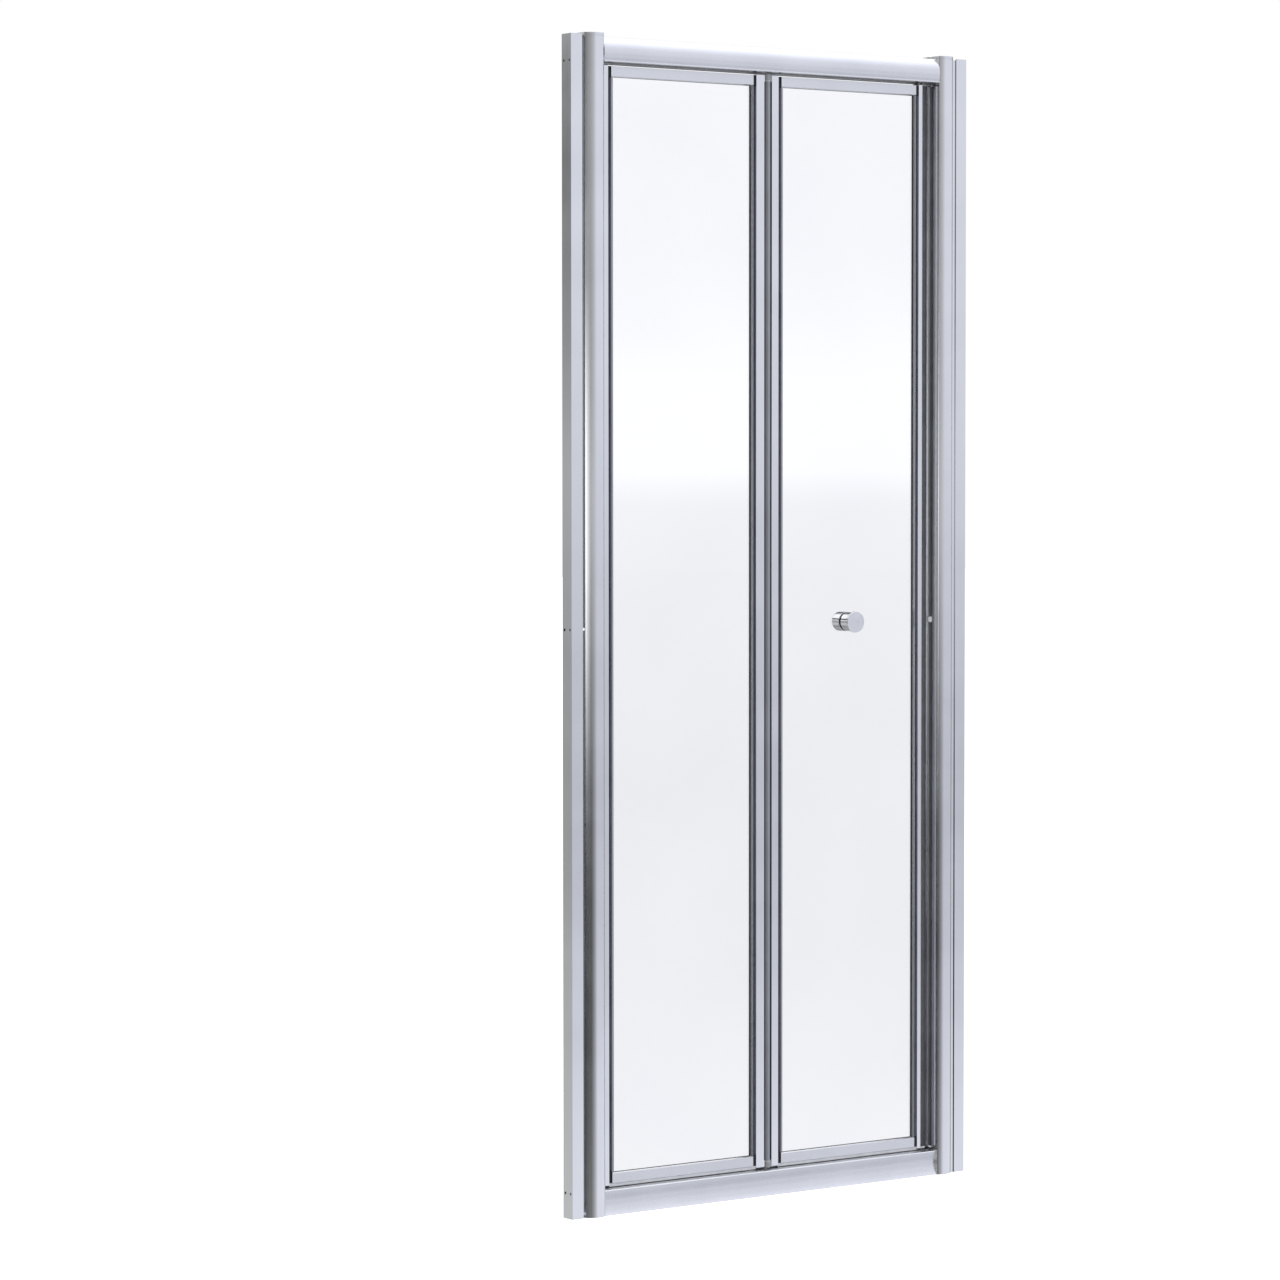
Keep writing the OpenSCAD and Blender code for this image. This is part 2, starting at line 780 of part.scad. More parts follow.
// Wiper under a panel's bottom rail
module drip_seal(x0, x1) {
    front = panel_front + 1;
    base_t = 1.8;
    base_w = 7;
    lip_t = 1.2;
    sill_gap = 1;
    color("gray") along(x0, x1) union() {
        bar(front, rail_low - base_t, front + base_w, rail_low);
        bar(front, sill_h + sill_gap, front + lip_t, rail_low - base_t);
    }
}

// ---- pivot panel fittings ----

// Space that a shoe leaves for the corner screw's head; x is the stile's glass-side face and
// dir is 1 when the glass is to the right
module head_relief(x, dir) {
    deep = stile_t + corner_head_t + slide_clear;
    wide = corner_screw_head_r + slide_clear;
    translate([x, corner_screw_y - wide, -over]) mirror([dir > 0 ? 1 : 0, 0, 0])
        cube([deep, 2 * wide, shoe_plug_h + 2 * over]);
}

// Nylon shoe in the end of the pivot stile; z is the stile's end and dir points into the stile
module pivot_shoe(z, dir) {
    t = stile_t + plug_clear;
    translate([0, 0, z]) mirror([0, 0, dir > 0 ? 0 : 1]) color("black") difference() {
        union() {
            block(pivot_edge + t, panel_front + t, 0, pivot_stile_in - t, panel_back - t, shoe_plug_h);
            block(pivot_edge + plate_set, panel_front + plate_set, -shoe_plate_t,
                pivot_stile_in - plate_set, panel_back - plate_set, 0);
        }
        rod(pivot_x, track_y, -shoe_plate_t - over, pin_in_shoe + over, pivot_pin_r + touch);
        translate([0, 0, over]) head_relief(pivot_stile_in, 1);
    }
}

// Steel pivot pin with a collar between the shoe and the bush
module pivot_pin(z, dir) {
    gap = end_gap;
    translate([0, 0, z]) mirror([0, 0, dir > 0 ? 0 : 1]) color("gainsboro") union() {
        rod(pivot_x, track_y, -gap - pin_in_block, pin_in_shoe, pivot_pin_r);
        rod(pivot_x, track_y, -gap + washer_gap, -shoe_plate_t, collar_r);
    }
}

// ---- leading panel fittings ----

// Nylon shoe on the end of the fold stile that carries the hinge rod beyond the barrel
module hinge_shoe(z, dir) {
    t = stile_t + plug_clear;
    plug_x0 = fold_stile_out + t;
    translate([0, 0, z]) mirror([0, 0, dir > 0 ? 0 : 1]) color("black") difference() {
        union() {
            block(plug_x0, panel_front + t, 0, fold_stile_in - t, panel_back - t, shoe_plug_h);
            block(fold_stile_out + plate_set, panel_front + plate_set, -shoe_plate_t,
                fold_stile_in - plate_set, panel_back - plate_set, 0);
            block(hinge_x, hinge_y, -shoe_plate_t, fold_stile_out + 2 * plate_set,
                hinge_y + barrel_r, 0);
            block(hinge_x, hinge_y, 0, fold_stile_out - washer_gap, hinge_y + barrel_r,
                hinge_shoe_h);
            rod(hinge_x, hinge_y, -shoe_plate_t, hinge_shoe_h, barrel_r);
        }
        rod(hinge_x, hinge_y, -over / 2, hinge_shoe_h + over, hinge_rod_r + touch);
        translate([0, 0, over]) head_relief(fold_stile_in, 1);
    }
}

module hinge_rod() {
    color("gainsboro") rod(hinge_x, hinge_y, stile_bottom, stile_top, hinge_rod_r);
}

module hinge_washers() {
    low = stile_bottom + hinge_shoe_h + washer_gap;
    high = barrel_high + washer_gap;
    for (z = [low, high])
        color("white") difference() {
            rod(hinge_x, hinge_y, z, z + washer_t, barrel_r - plug_clear);
            rod(hinge_x, hinge_y, z - over, z + washer_t + over, hinge_rod_r + pin_clear);
        }
}

// Soft strip on the fold stile that closes the gap behind the barrel
module fold_seal() {
    set_back = 1.5;
    depth = 4;
    front = hinge_y + set_back;
    color("dimgray") upright(barrel_low, barrel_high)
        bar(hinge_x + barrel_r + slide_clear, front, fold_stile_out, front + depth);
}

// Nylon shoe in the end of the leading stile
module guide_shoe(z, dir) {
    translate([0, 0, z]) mirror([0, 0, dir > 0 ? 0 : 1]) color("black") difference() {
        union() {
            linear_extrude(shoe_plug_h) lead_cavity(plug_clear);
            block(lead_stile_in + plate_set, panel_front + plate_set, -shoe_plate_t,
                lead_face_end - plate_set, panel_back - plate_set, 0);
            block(lead_stile_in + plate_set, lead_step_y + plate_set, -shoe_plate_t,
                lead_stile_out - plate_set, panel_back - plate_set, 0);
        }
        rod(guide_x, track_y, -shoe_plate_t - over, pin_in_shoe + over, guide_pin_r + touch);
        translate([0, 0, over]) head_relief(lead_stile_in, -1);
    }
}

module guide_pin(z, dir) {
    gap = end_gap;
    translate([0, 0, z]) mirror([0, 0, dir > 0 ? 0 : 1]) color("gainsboro")
        rod(guide_x, track_y, -gap - pin_in_block, pin_in_shoe, guide_pin_r);
}

// Magnetic strip on the leading stile
module door_magnet_seal() {
    front = panel_back - magnet_depth;
    neck = 1;
    color("gray") upright(stile_bottom, stile_top) union() {
        bar(lead_stile_out, front + magnet_shoulder, lead_stile_out + neck + weld,
            panel_back - magnet_shoulder);
        bar(lead_stile_out + neck, front, door_magnet_end, panel_back, edge);
    }
}

// Half of the knob, on the outer side when dir is -1; its base seats on a gasket on the glass
module knob(len, dir, barrel_r, end_r) {
    rim = 0.8;
    flare_start = len - 5.5;
    flare_end = len - 3;
    bore_end = knob_gasket_t + spindle_in_knob + 1;
    y = dir < 0 ? glass_front : glass_front + glass_t;
    translate([knob_x, y, knob_z]) rotate([dir < 0 ? 90 : -90, 0, 0])
        color("silver") difference() {
            rotate_extrude() polygon([
                [0, knob_gasket_t], [barrel_r, knob_gasket_t], [barrel_r, flare_start],
                [end_r, flare_end], [end_r, len - rim], [end_r - rim, len], [0, len]
            ]);
            translate([0, 0, -over]) cylinder(h = bore_end + over, r = spindle_r + touch);
        }
}

module knob_gaskets() {
    set_in = 0.4;
    for (y = [glass_front - knob_gasket_t, glass_front + glass_t])
        color("black") translate([knob_x, y, knob_z]) rotate([-90, 0, 0]) difference() {
            cylinder(h = knob_gasket_t, r = knob_barrel_r - set_in);
            translate([0, 0, -over])
                cylinder(h = knob_gasket_t + 2 * over, r = spindle_r + 2 * pin_clear);
        }
}

// Threaded stud that pulls both halves of the knob together through the glass
module knob_spindle() {
    reach = knob_gasket_t + spindle_in_knob;
    color("gainsboro") translate([knob_x, glass_front - reach, knob_z]) rotate([-90, 0, 0])
        cylinder(h = 2 * reach + glass_t, r = spindle_r);
}

// ---- sliders ----

// Nylon slider that swivels on a guide pin; z0 to z1 is its height in the channel
module slider(z0, z1, width) {
    color("white") difference() {
        block(guide_x - slider_len / 2, track_y - width / 2, z0,
            guide_x + slider_len / 2, track_y + width / 2, z1);
        rod(guide_x, track_y, z0 - over, z1 + over, guide_pin_r + pin_clear);
    }
}

// Faces of the stiles that bound the glass of each panel
pp = [pivot_stile_in, hinge_stile_in];
lp = [fold_stile_in, lead_stile_in];
sw = stile_groove_w;

left_hand() wall_profile();  // wall_profile_left
wall_profile();  // wall_profile_right
left_hand() jamb();  // jamb_left
jamb();  // jamb_right
left_hand() jamb_cap();  // jamb_cap_left
jamb_cap();  // jamb_cap_right
head_rail();
bottom_rail();
left_hand() jamb_screw();  // jamb_screw_left
jamb_screw();  // jamb_screw_right
left_hand() screw_cap();  // screw_cap_left
screw_cap();  // screw_cap_right
rail_screws(head_port_z);  // head_rail_screws
rail_screws(sill_port_z);  // bottom_rail_screws
track_liner();
pivot_block(head_bottom + block_set, head_bottom + block_set + block_h);  // pivot_block_top
pivot_block(sill_h - block_set - block_h, sill_h - block_set);  // pivot_block_bottom
pivot_bush(head_bottom, head_bottom + block_set + block_h);  // pivot_bush_top
pivot_bush(sill_h - block_set - block_h, sill_h);  // pivot_bush_bottom
jamb_magnet_seal();
jamb_fin_seal();
pivot_stile();
hinge_stile();
panel_top_rail(pp[0] + sw, pp[1] - sw);  // pivot_panel_top_rail
panel_bottom_rail(pp[0] + sw, pp[1] - sw);  // pivot_panel_bottom_rail
color("azure", 0.3) pane(pp[0], pp[1]);  // pivot_panel_glass
gasket(pp[0], pp[1]);  // pivot_panel_gasket
corner_blocks(pp[0], pp[1]);  // pivot_panel_corner_blocks
corner_screws(pp[0], pp[1]);  // pivot_panel_corner_screws
drip_seal(pp[0] + sw, pp[1] - sw);  // pivot_panel_drip_seal
pivot_shoe(stile_top, -1);  // pivot_shoe_top
pivot_shoe(stile_bottom, 1);  // pivot_shoe_bottom
pivot_pin(stile_top, -1);  // pivot_pin_top
pivot_pin(stile_bottom, 1);  // pivot_pin_bottom
fold_stile();
leading_stile();
panel_top_rail(lp[0] + sw, lp[1] - sw);  // leading_panel_top_rail
panel_bottom_rail(lp[0] + sw, lp[1] - sw);  // leading_panel_bottom_rail
color("azure", 0.3) difference() {  // leading_panel_glass
        pane(lp[0], lp[1]);
        translate([knob_x, glass_front - over, knob_z]) rotate([-90, 0, 0])
            cylinder(h = glass_t + 2 * over, r = knob_hole_r);
    }
gasket(lp[0], lp[1]);  // leading_panel_gasket
corner_blocks(lp[0], lp[1]);  // leading_panel_corner_blocks
corner_screws(lp[0], lp[1]);  // leading_panel_corner_screws
drip_seal(lp[0] + sw, lp[1] - sw);  // leading_panel_drip_seal
hinge_rod();
hinge_shoe(stile_top, -1);  // hinge_shoe_top
hinge_shoe(stile_bottom, 1);  // hinge_shoe_bottom
hinge_washers();
fold_seal();
guide_shoe(stile_top, -1);  // guide_shoe_top
guide_shoe(stile_bottom, 1);  // guide_shoe_bottom
guide_pin(stile_top, -1);  // guide_pin_top
guide_pin(stile_bottom, 1);  // guide_pin_bottom
door_magnet_seal();
knob(knob_out_len, -1, knob_barrel_r, knob_end_r);  // knob_outer
knob(knob_in_len, 1, knob_in_r, knob_in_r);  // knob_inner
knob_gaskets();
knob_spindle();
slider(head_bottom + slider_set, head_bottom + channel_d - liner_t - slider_set,  // guide_slider_top
        channel_w - 2 * liner_t - 2 * slide_clear);
slider(sill_h - channel_d + slider_set, sill_h - slider_set, channel_w - 2 * slide_clear);  // guide_slider_bottom
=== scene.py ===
import json
import math

import bmesh
import bpy
from mathutils import Matrix, Vector


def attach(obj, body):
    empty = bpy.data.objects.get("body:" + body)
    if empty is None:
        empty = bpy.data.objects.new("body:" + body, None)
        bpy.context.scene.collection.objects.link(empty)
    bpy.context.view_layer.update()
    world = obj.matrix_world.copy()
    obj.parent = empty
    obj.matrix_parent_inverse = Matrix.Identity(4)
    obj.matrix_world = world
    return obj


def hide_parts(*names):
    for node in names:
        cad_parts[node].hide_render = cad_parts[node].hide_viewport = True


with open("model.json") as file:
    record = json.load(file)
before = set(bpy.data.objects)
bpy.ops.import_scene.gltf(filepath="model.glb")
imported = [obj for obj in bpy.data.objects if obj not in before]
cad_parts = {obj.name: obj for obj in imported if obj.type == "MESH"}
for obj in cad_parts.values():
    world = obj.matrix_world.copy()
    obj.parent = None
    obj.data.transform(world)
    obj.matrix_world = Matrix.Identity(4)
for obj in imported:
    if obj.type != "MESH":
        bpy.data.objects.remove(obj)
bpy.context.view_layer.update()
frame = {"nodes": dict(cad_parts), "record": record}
nodes = frame["nodes"]
behaviour = frame["record"]["behaviour"]
body_of = {name: body for body, names in behaviour["bodies"].items() for name in names}

# ---------------------------------------------------------------------------------------
# Wall profiles: U-shaped extrusions of bright anodised aluminium, one screwed to each wall.
# They are sawn to length and drilled, and the drill leaves a small chamfer round each hole.
# Sizes in this file are in millimetres until a piece is finished.


def colour(code):
    """Turns an sRGB hex colour into the linear values that Blender works with."""
    parts = [int(code[i : i + 2], 16) / 255 for i in (1, 3, 5)]
    return [c / 12.92 if c <= 0.04045 else ((c + 0.055) / 1.055) ** 2.4 for c in parts] + [1]


def add(tree, kind, values=(), links=(), **settings):
    """Adds a node, sets its settings and its sockets' values, and joins links to its inputs."""
    made = tree.nodes.new(kind)
    for key, value in settings.items():
        setattr(made, key, value)
    for key, value in dict(values).items():
        made.inputs[key].default_value = value
    for key, source in dict(links).items():
        tree.links.new(source, made.inputs[key])
    return made


def ramp(tree, source, stops):
    """Adds a colour ramp that reads source; stops are positions with their colours."""
    made = add(tree, "ShaderNodeValToRGB", links={"Fac": source})
    band = made.color_ramp.elements
    while len(band) < len(stops):
        band.new(0.5)
    for element, (position, shade) in zip(band, stops):
        element.position = position
        element.color = colour(shade)
    return made.outputs["Color"]


def noise(tree, place, scale, detail):
    """Adds a noise over a place in metres; scale is how many of its grains a metre holds."""
    made = add(
        tree, "ShaderNodeTexNoise", {"Scale": scale, "Detail": detail}, {"Vector": place}
    )
    return made.outputs["Fac"]


def reckon(tree, operation, first, second=0.5):
    """Adds one step of arithmetic; second is a number or another node's value."""
    made = add(tree, "ShaderNodeMath", links={0: first}, operation=operation)
    if isinstance(second, bpy.types.NodeSocket):
        tree.links.new(second, made.inputs[1])
    else:
        made.inputs[1].default_value = second
    return made.outputs[0]


def roughen(tree, shader, source, low, high, rough):
    """Lets a shader's roughness run over the range rough while source runs from low to high."""
    reach = add(
        tree,
        "ShaderNodeMapRange",
        {"From Min": low, "From Max": high, "To Min": rough[0], "To Max": rough[1]},
        {"Value": source},
    )
    tree.links.new(reach.outputs[0], shader.inputs["Roughness"])


def emboss(tree, shader, source, strength, depth):
    """Lets a pattern stand out of a shader's surface by a depth in metres."""
    bump = add(
        tree, "ShaderNodeBump", {"Strength": strength, "Distance": depth}, {"Height": source}
    )
    tree.links.new(bump.outputs[0], shader.inputs["Normal"])


def blank_material(name):
    """Starts a material that holds only its output and a Principled shader."""
    material = bpy.data.materials.new(name)
    material.use_nodes = True
    tree = material.node_tree
    tree.nodes.clear()
    shader = add(tree, "ShaderNodeBsdfPrincipled")
    add(tree, "ShaderNodeOutputMaterial", links={"Surface": shader.outputs[0]})
    return material, tree, shader


def bright_aluminium(name, along, tones, polish):
    """Bright-dipped, anodised extrusion. Faint die lines run its whole length, about 1.5 mm
    apart, drawn coarser than the real 0.3 mm so that they show; wiping leaves dull patches
    the size of a hand."""
    material, tree, shader = blank_material(name)
    shader.inputs["Metallic"].default_value = 1
    place = add(tree, "ShaderNodeTexCoord").outputs["Object"]
    line_gap, hand_size = 0.0015, 0.09
    fine, long = 1 / line_gap, 0.4
    stretch = (fine, fine, long) if along == "upright" else (long, fine, fine)
    lined = add(tree, "ShaderNodeMapping", {"Scale": stretch}, {"Vector": place})
    lines = noise(tree, lined.outputs[0], scale=1, detail=2)
    wiped = noise(tree, place, scale=1 / hand_size, detail=4)
    shade = ramp(tree, wiped, [(0.3, tones[0]), (0.7, tones[1])])
    tree.links.new(shade, shader.inputs["Base Color"])
    roughen(tree, shader, reckon(tree, "ADD", lines, wiped), low=0.7, high=1.3, rough=polish)
    emboss(tree, shader, lines, strength=0.12, depth=0.00002)
    return material


metal_tones = ("#E1E2E5", "#E8E9EC")
upright_metal = bright_aluminium(
    "anodised_aluminium_upright", "upright", metal_tones, polish=(0.08, 0.13)
)
level_metal = bright_aluminium(
    "anodised_aluminium_level", "level", metal_tones, polish=(0.24, 0.3)
)
sharp_edge = math.radians(28)
per_metre = 1000
scene = bpy.context.scene


def finish_piece(bm, name, material, body, stands_for):
    """Makes an object of a mesh drawn in millimetres, and says what it rides on and replaces."""
    bmesh.ops.remove_doubles(bm, verts=bm.verts, dist=0.0005)
    bmesh.ops.recalc_face_normals(bm, faces=bm.faces)
    bmesh.ops.scale(bm, vec=[1 / per_metre] * 3, verts=bm.verts)
    for face in bm.faces:
        face.smooth = True
    mesh = bpy.data.meshes.new(name)
    bm.to_mesh(mesh)
    bm.free()
    mesh.set_sharp_from_angle(angle=sharp_edge)
    mesh.materials.append(material)
    piece = bpy.data.objects.new(name, mesh)
    scene.collection.objects.link(piece)
    even = piece.modifiers.new("flats_stay_flat", "WEIGHTED_NORMAL")
    even.keep_sharp = True
    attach(piece, body)
    if stands_for:
        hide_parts(*stands_for)


def round_off(bm, geom, radius, segments, affect="EDGES"):
    """Rounds some edges of a mesh, or some corners of an outline, by a radius."""
    return bmesh.ops.bevel(
        bm,
        geom=geom,
        offset=radius,
        offset_type="OFFSET",
        segments=segments,
        profile=0.5,
        affect=affect,
        clamp_overlap=True,
        material=-1,
    )


def eased(node, material, radius):
    """A finished copy of a CAD node in the node's own slot: welded, its flat faces joined,
    and its edges eased."""
    bm = bmesh.new()
    bm.from_mesh(nodes[node].data)
    bmesh.ops.scale(bm, vec=[per_metre] * 3, verts=bm.verts)
    bmesh.ops.remove_doubles(bm, verts=bm.verts, dist=0.001)
    bmesh.ops.dissolve_limit(
        bm,
        angle_limit=math.radians(0.5),
        use_dissolve_boundaries=False,
        verts=bm.verts,
        edges=bm.edges,
    )
    crisp = [e for e in bm.edges if e.is_manifold and e.calc_face_angle(0) > sharp_edge]
    round_off(bm, crisp, radius, segments=2)
    finish_piece(bm, node + "_finished", material, body_of[node], [node])


for side in ("left", "right"):
    eased("wall_profile_" + side, upright_metal, radius=0.15)

# ---------------------------------------------------------------------------------------
# Jambs: hollow extrusions with a rounded nose that telescope into the wall profiles on two
# tongues. A shallow round groove runs down the inner face. The cap on top is moulded to the
# same outline and plated to match.

jamb_inner, jamb_outer = 339.2, 373
jamb_depth, jamb_wall = 40, 1.6
nose_centre, nose_radius = (353.5, 16), 24
groove_centre, groove_radius = (328.658, 20.5), 13.542
groove_low, groove_high = 12, 29
jamb_top, cap_top, cap_gap = 1850, 1855, 0.6
sharp_corner, arc_step, touching = math.radians(25), 3, 0.001


def draw(bm, path, ease=0.0):
    """Draws a closed outline and fills it. The path starts at a corner; each step is a corner
    (x, y) or an arc (centre x, centre y, turn in degrees). Corners are rounded by ease."""
    first = bm.verts.new((path[0][0], path[0][1], 0))
    here, corners, edges = first, [first], []
    for step in path[1:]:
        if len(step) == 2:
            moved = bmesh.ops.extrude_vert_indiv(bm, verts=[here])
            here = moved["verts"][0]
            here.co = Vector((step[0], step[1], 0))
            edges += moved["edges"]
        else:
            known = set(bm.edges)
            swept = bmesh.ops.spin(
                bm,
                geom=[here],
                cent=(step[0], step[1], 0),
                axis=(0, 0, 1),
                angle=math.radians(step[2]),
                steps=max(3, round(abs(step[2]) / arc_step)),
            )
            here = [g for g in swept["geom_last"] if isinstance(g, bmesh.types.BMVert)][0]
            edges += [e for e in bm.edges if e not in known]
        corners.append(here)
    if (here.co - first.co).length < touching:
        bmesh.ops.weld_verts(bm, targetmap={here: first})
        corners.pop()
        edges = [e for e in edges if e.is_valid]
    else:
        edges.append(bm.edges.new((here, first)))
    face = bmesh.ops.contextual_create(bm, geom=edges)["faces"][0]
    if ease:
        sharp = [v for v in corners if abs(v.calc_edge_angle(0)) > sharp_corner]
        rounded = round_off(bm, sharp, ease, segments=3, affect="VERTICES")
        face = max(
            (f for f in bm.faces if f.is_valid and set(rounded["verts"]) & set(f.verts)),
            key=lambda f: f.calc_area(),
        )
    return [face]


def hollow(bm, faces, wall):
    """Leaves only a wall of a filled outline, as an extrusion's section has."""
    inset = bmesh.ops.inset_region(
        bm, faces=faces, thickness=wall, use_even_offset=True, use_boundary=True
    )
    bmesh.ops.delete(bm, geom=faces, context="FACES_ONLY")
    return inset["faces"]


def stand(bm, faces, low, high):
    """Runs a section up from one height to another."""
    verts = list({v for f in faces for v in f.verts})
    bmesh.ops.translate(bm, vec=(0, 0, low), verts=verts)
    grown = bmesh.ops.extrude_face_region(bm, geom=faces, use_keep_orig=True)["geom"]
    top = [g for g in grown if isinstance(g, bmesh.types.BMVert)]
    bmesh.ops.translate(bm, vec=(0, 0, high - low), verts=top)
    return [g for g in grown if isinstance(g, bmesh.types.BMFace)]


def box_path(x0, y0, x1, y1):
    """The outline of a rectangle between two corners."""
    return [(x0, y0), (x1, y0), (x1, y1), (x0, y1)]


def mirror_left(bm):
    """Turns a right-hand piece into its left-hand twin."""
    bmesh.ops.scale(bm, vec=(-1, 1, 1), verts=bm.verts)


def nose_turn(x):
    """The angle of the nose's arc from straight ahead to where it meets a flat side."""
    return math.degrees(math.asin((x - nose_centre[0]) / nose_radius))


nose_start = nose_centre[1] - nose_radius * math.cos(math.radians(nose_turn(jamb_outer)))
groove_turn = 2 * math.degrees(math.asin((groove_high - groove_low) / 2 / groove_radius))
jamb_path = [
    (jamb_inner, groove_high),
    (jamb_inner, jamb_depth),
    (jamb_outer, jamb_depth),
    (jamb_outer, nose_start),
    (*nose_centre, -nose_turn(jamb_outer) + nose_turn(jamb_inner)),
    (jamb_inner, groove_low),
    (*groove_centre, groove_turn),
]
tongue_root, tongue_end, tongue_wall, shoulder = jamb_outer - 0.4, 392, 1.2, 3
front_tongue_y = {"left": nose_start + 0.2, "right": 1.8}
front_tongue_step = {"left": 2 * shoulder, "right": 0}
back_tongue_y = 22
cap_round, plug_gap, plug_depth = 0.8, 0.25, 6

cap_metal = bright_aluminium(
    "plated_cap", "upright", ("#DCDEE3", "#E8EAEE"), polish=(0.12, 0.2)
)

for side in ("left", "right"):
    bm = bmesh.new()
    stand(bm, hollow(bm, draw(bm, jamb_path, ease=0.5), jamb_wall), 0, jamb_top)
    near = front_tongue_y[side]
    far = near + front_tongue_step[side]
    front_tongue = [
        (tongue_root, near),
        (tongue_root + shoulder, far),
        (tongue_end, far),
        (tongue_end, far + tongue_wall),
        (tongue_root, far + tongue_wall),
    ]
    back_tongue = box_path(tongue_root, back_tongue_y, tongue_end, back_tongue_y + tongue_wall)
    stand(bm, draw(bm, front_tongue, ease=0.3), 0, jamb_top)
    stand(bm, draw(bm, back_tongue, ease=0.3), 0, jamb_top)
    if side == "left":
        mirror_left(bm)
    finish_piece(
        bm,
        "jamb_extrusion_" + side,
        upright_metal,
        "frame",
        ["jamb_" + side],
    )

    bm = bmesh.new()
    lid = stand(bm, draw(bm, jamb_path, ease=0.5), jamb_top + cap_gap, cap_top)
    round_off(bm, [e for f in lid for e in f.edges], cap_round, segments=3)
    plug = draw(bm, jamb_path)
    core = bmesh.ops.inset_region(
        bm,
        faces=plug,
        thickness=jamb_wall + plug_gap,
        use_even_offset=True,
        use_boundary=True,
    )
    bmesh.ops.delete(bm, geom=core["faces"], context="FACES")
    stand(bm, plug, jamb_top - plug_depth, jamb_top + cap_gap)
    if side == "left":
        mirror_left(bm)
    finish_piece(
        bm, "moulded_cap_" + side, cap_metal, "frame", ["jamb_cap_" + side]
    )

# ---------------------------------------------------------------------------------------
# Head rail and bottom rail: extrusions screwed between the jambs. The head rail's front is
# rounded over a small lip, the bottom rail's is hollowed, and both carry a sliders' channel.

rail_half, rail_back = jamb_inner, 38
slide_front, slide_back, slide_depth = 22, 32, 14


def lie(bm):
    """Turns sections drawn with Y to the right and Z up so that they run along X."""
    along_x = Matrix(((0, 0, 1, 0), (1, 0, 0, 0), (0, 1, 0, 0), (0, 0, 0, 1)))
    bmesh.ops.transform(bm, matrix=along_x, verts=bm.verts)


def frame_rail(name, node, path):
    """Runs a section from one jamb to the other."""
    bm = bmesh.new()
    stand(bm, draw(bm, path, ease=0.3), -rail_half, rail_half)
    lie(bm)
    finish_piece(bm, name, level_metal, "frame", [node])


head_low, head_top = 1811, 1850
head_centre, head_radius = (35, 1826), 40
head_front, head_lip = -5, 2.2
lip_meet = math.asin((head_low + head_lip - head_centre[1]) / head_radius)
front_meet = math.asin((head_top - head_centre[1]) / head_radius)
head_path = [
    (rail_back, head_top),
    (rail_back, head_low),
    (slide_back, head_low),
    (slide_back, head_low + slide_depth),
    (slide_front, head_low + slide_depth),
    (slide_front, head_low),
    (head_front, head_low),
    (head_front, head_low + head_lip),
    (head_centre[0] - head_radius * math.cos(lip_meet), head_low + head_lip),
    (*head_centre, -math.degrees(front_meet - lip_meet)),
]
frame_rail("head_rail_extrusion", "head_rail", head_path)

sill_top, sill_foot, sill_front = 40, -2.8, -0.5
sill_round, sill_hollow = 2, 3.6
sill_edge = (sill_front, sill_top - sill_round)
run, rise = sill_edge[0] - sill_foot, sill_edge[1]
chord = math.hypot(run, rise)
sill_radius = (chord**2 / 4 + sill_hollow**2) / (2 * sill_hollow)
sill_turn = 2 * math.asin(chord / 2 / sill_radius)
lean = sill_turn / 2 - math.atan(run / rise)
sill_centre = (
    sill_edge[0] - sill_radius * math.cos(lean),
    sill_edge[1] - sill_radius * math.sin(lean),
)
sill_path = [
    (sill_foot, 0),
    (rail_back, 0),
    (rail_back, sill_top),
    (slide_back, sill_top),
    (slide_back, sill_top - slide_depth),
    (slide_front, sill_top - slide_depth),
    (slide_front, sill_top),
    (sill_edge[0] + sill_round, sill_top),
    (sill_edge[0] + sill_round, sill_edge[1], 90),
    (*sill_centre, -math.degrees(sill_turn)),
]
frame_rail("bottom_rail_extrusion", "bottom_rail", sill_path)

# ---------------------------------------------------------------------------------------
# Small fittings of the frame: steel self-tapping screws inside the jambs, the jamb screws
# with their snap-on covers, nylon pivot blocks and acetal bushes in the channels' ends, and
# the liner in the head rail's channel. All are turned or moulded, with eased edges.


def plain_solid(name, tones, rough, grain, bump, metallic=0.0):
    """A moulded or turned material. Its surface has grain of the given size in millimetres,
    its colour varies in larger clouds, and its gloss varies with the grain."""
    material, tree, shader = blank_material(name)
    shader.inputs["Metallic"].default_value = metallic
    place = add(tree, "ShaderNodeTexCoord").outputs["Object"]
    cloud_size = 0.02
    clouds = noise(tree, place, scale=1 / cloud_size, detail=3)
    shade = ramp(tree, clouds, [(0.35, tones[0]), (0.65, tones[1])])
    tree.links.new(shade, shader.inputs["Base Color"])
    grains = noise(tree, place, scale=per_metre / grain, detail=2)
    roughen(tree, shader, grains, low=0.3, high=0.7, rough=rough)
    emboss(tree, shader, grains, strength=0.3, depth=bump / per_metre)
    return material


zinc_steel = plain_solid(
    "zinc_plated_steel", ("#A9ACB0", "#C3C6C9"), rough=(0.25, 0.4), grain=1, bump=0.02, metallic=1
)
black_nylon = plain_solid(
    "moulded_black_nylon", ("#141517", "#1E1F22"), rough=(0.38, 0.52), grain=0.8, bump=0.03
)
white_nylon = plain_solid(
    "moulded_white_nylon", ("#E4E4E0", "#EEEEEB"), rough=(0.35, 0.5), grain=0.8, bump=0.03
)
natural_acetal = plain_solid(
    "turned_acetal", ("#E2DCCB", "#EBE7DA"), rough=(0.3, 0.42), grain=0.8, bump=0.02
)
white_abs = plain_solid(
    "moulded_white_abs", ("#F0F1F2", "#F8F8F9"), rough=(0.22, 0.32), grain=1, bump=0.01
)

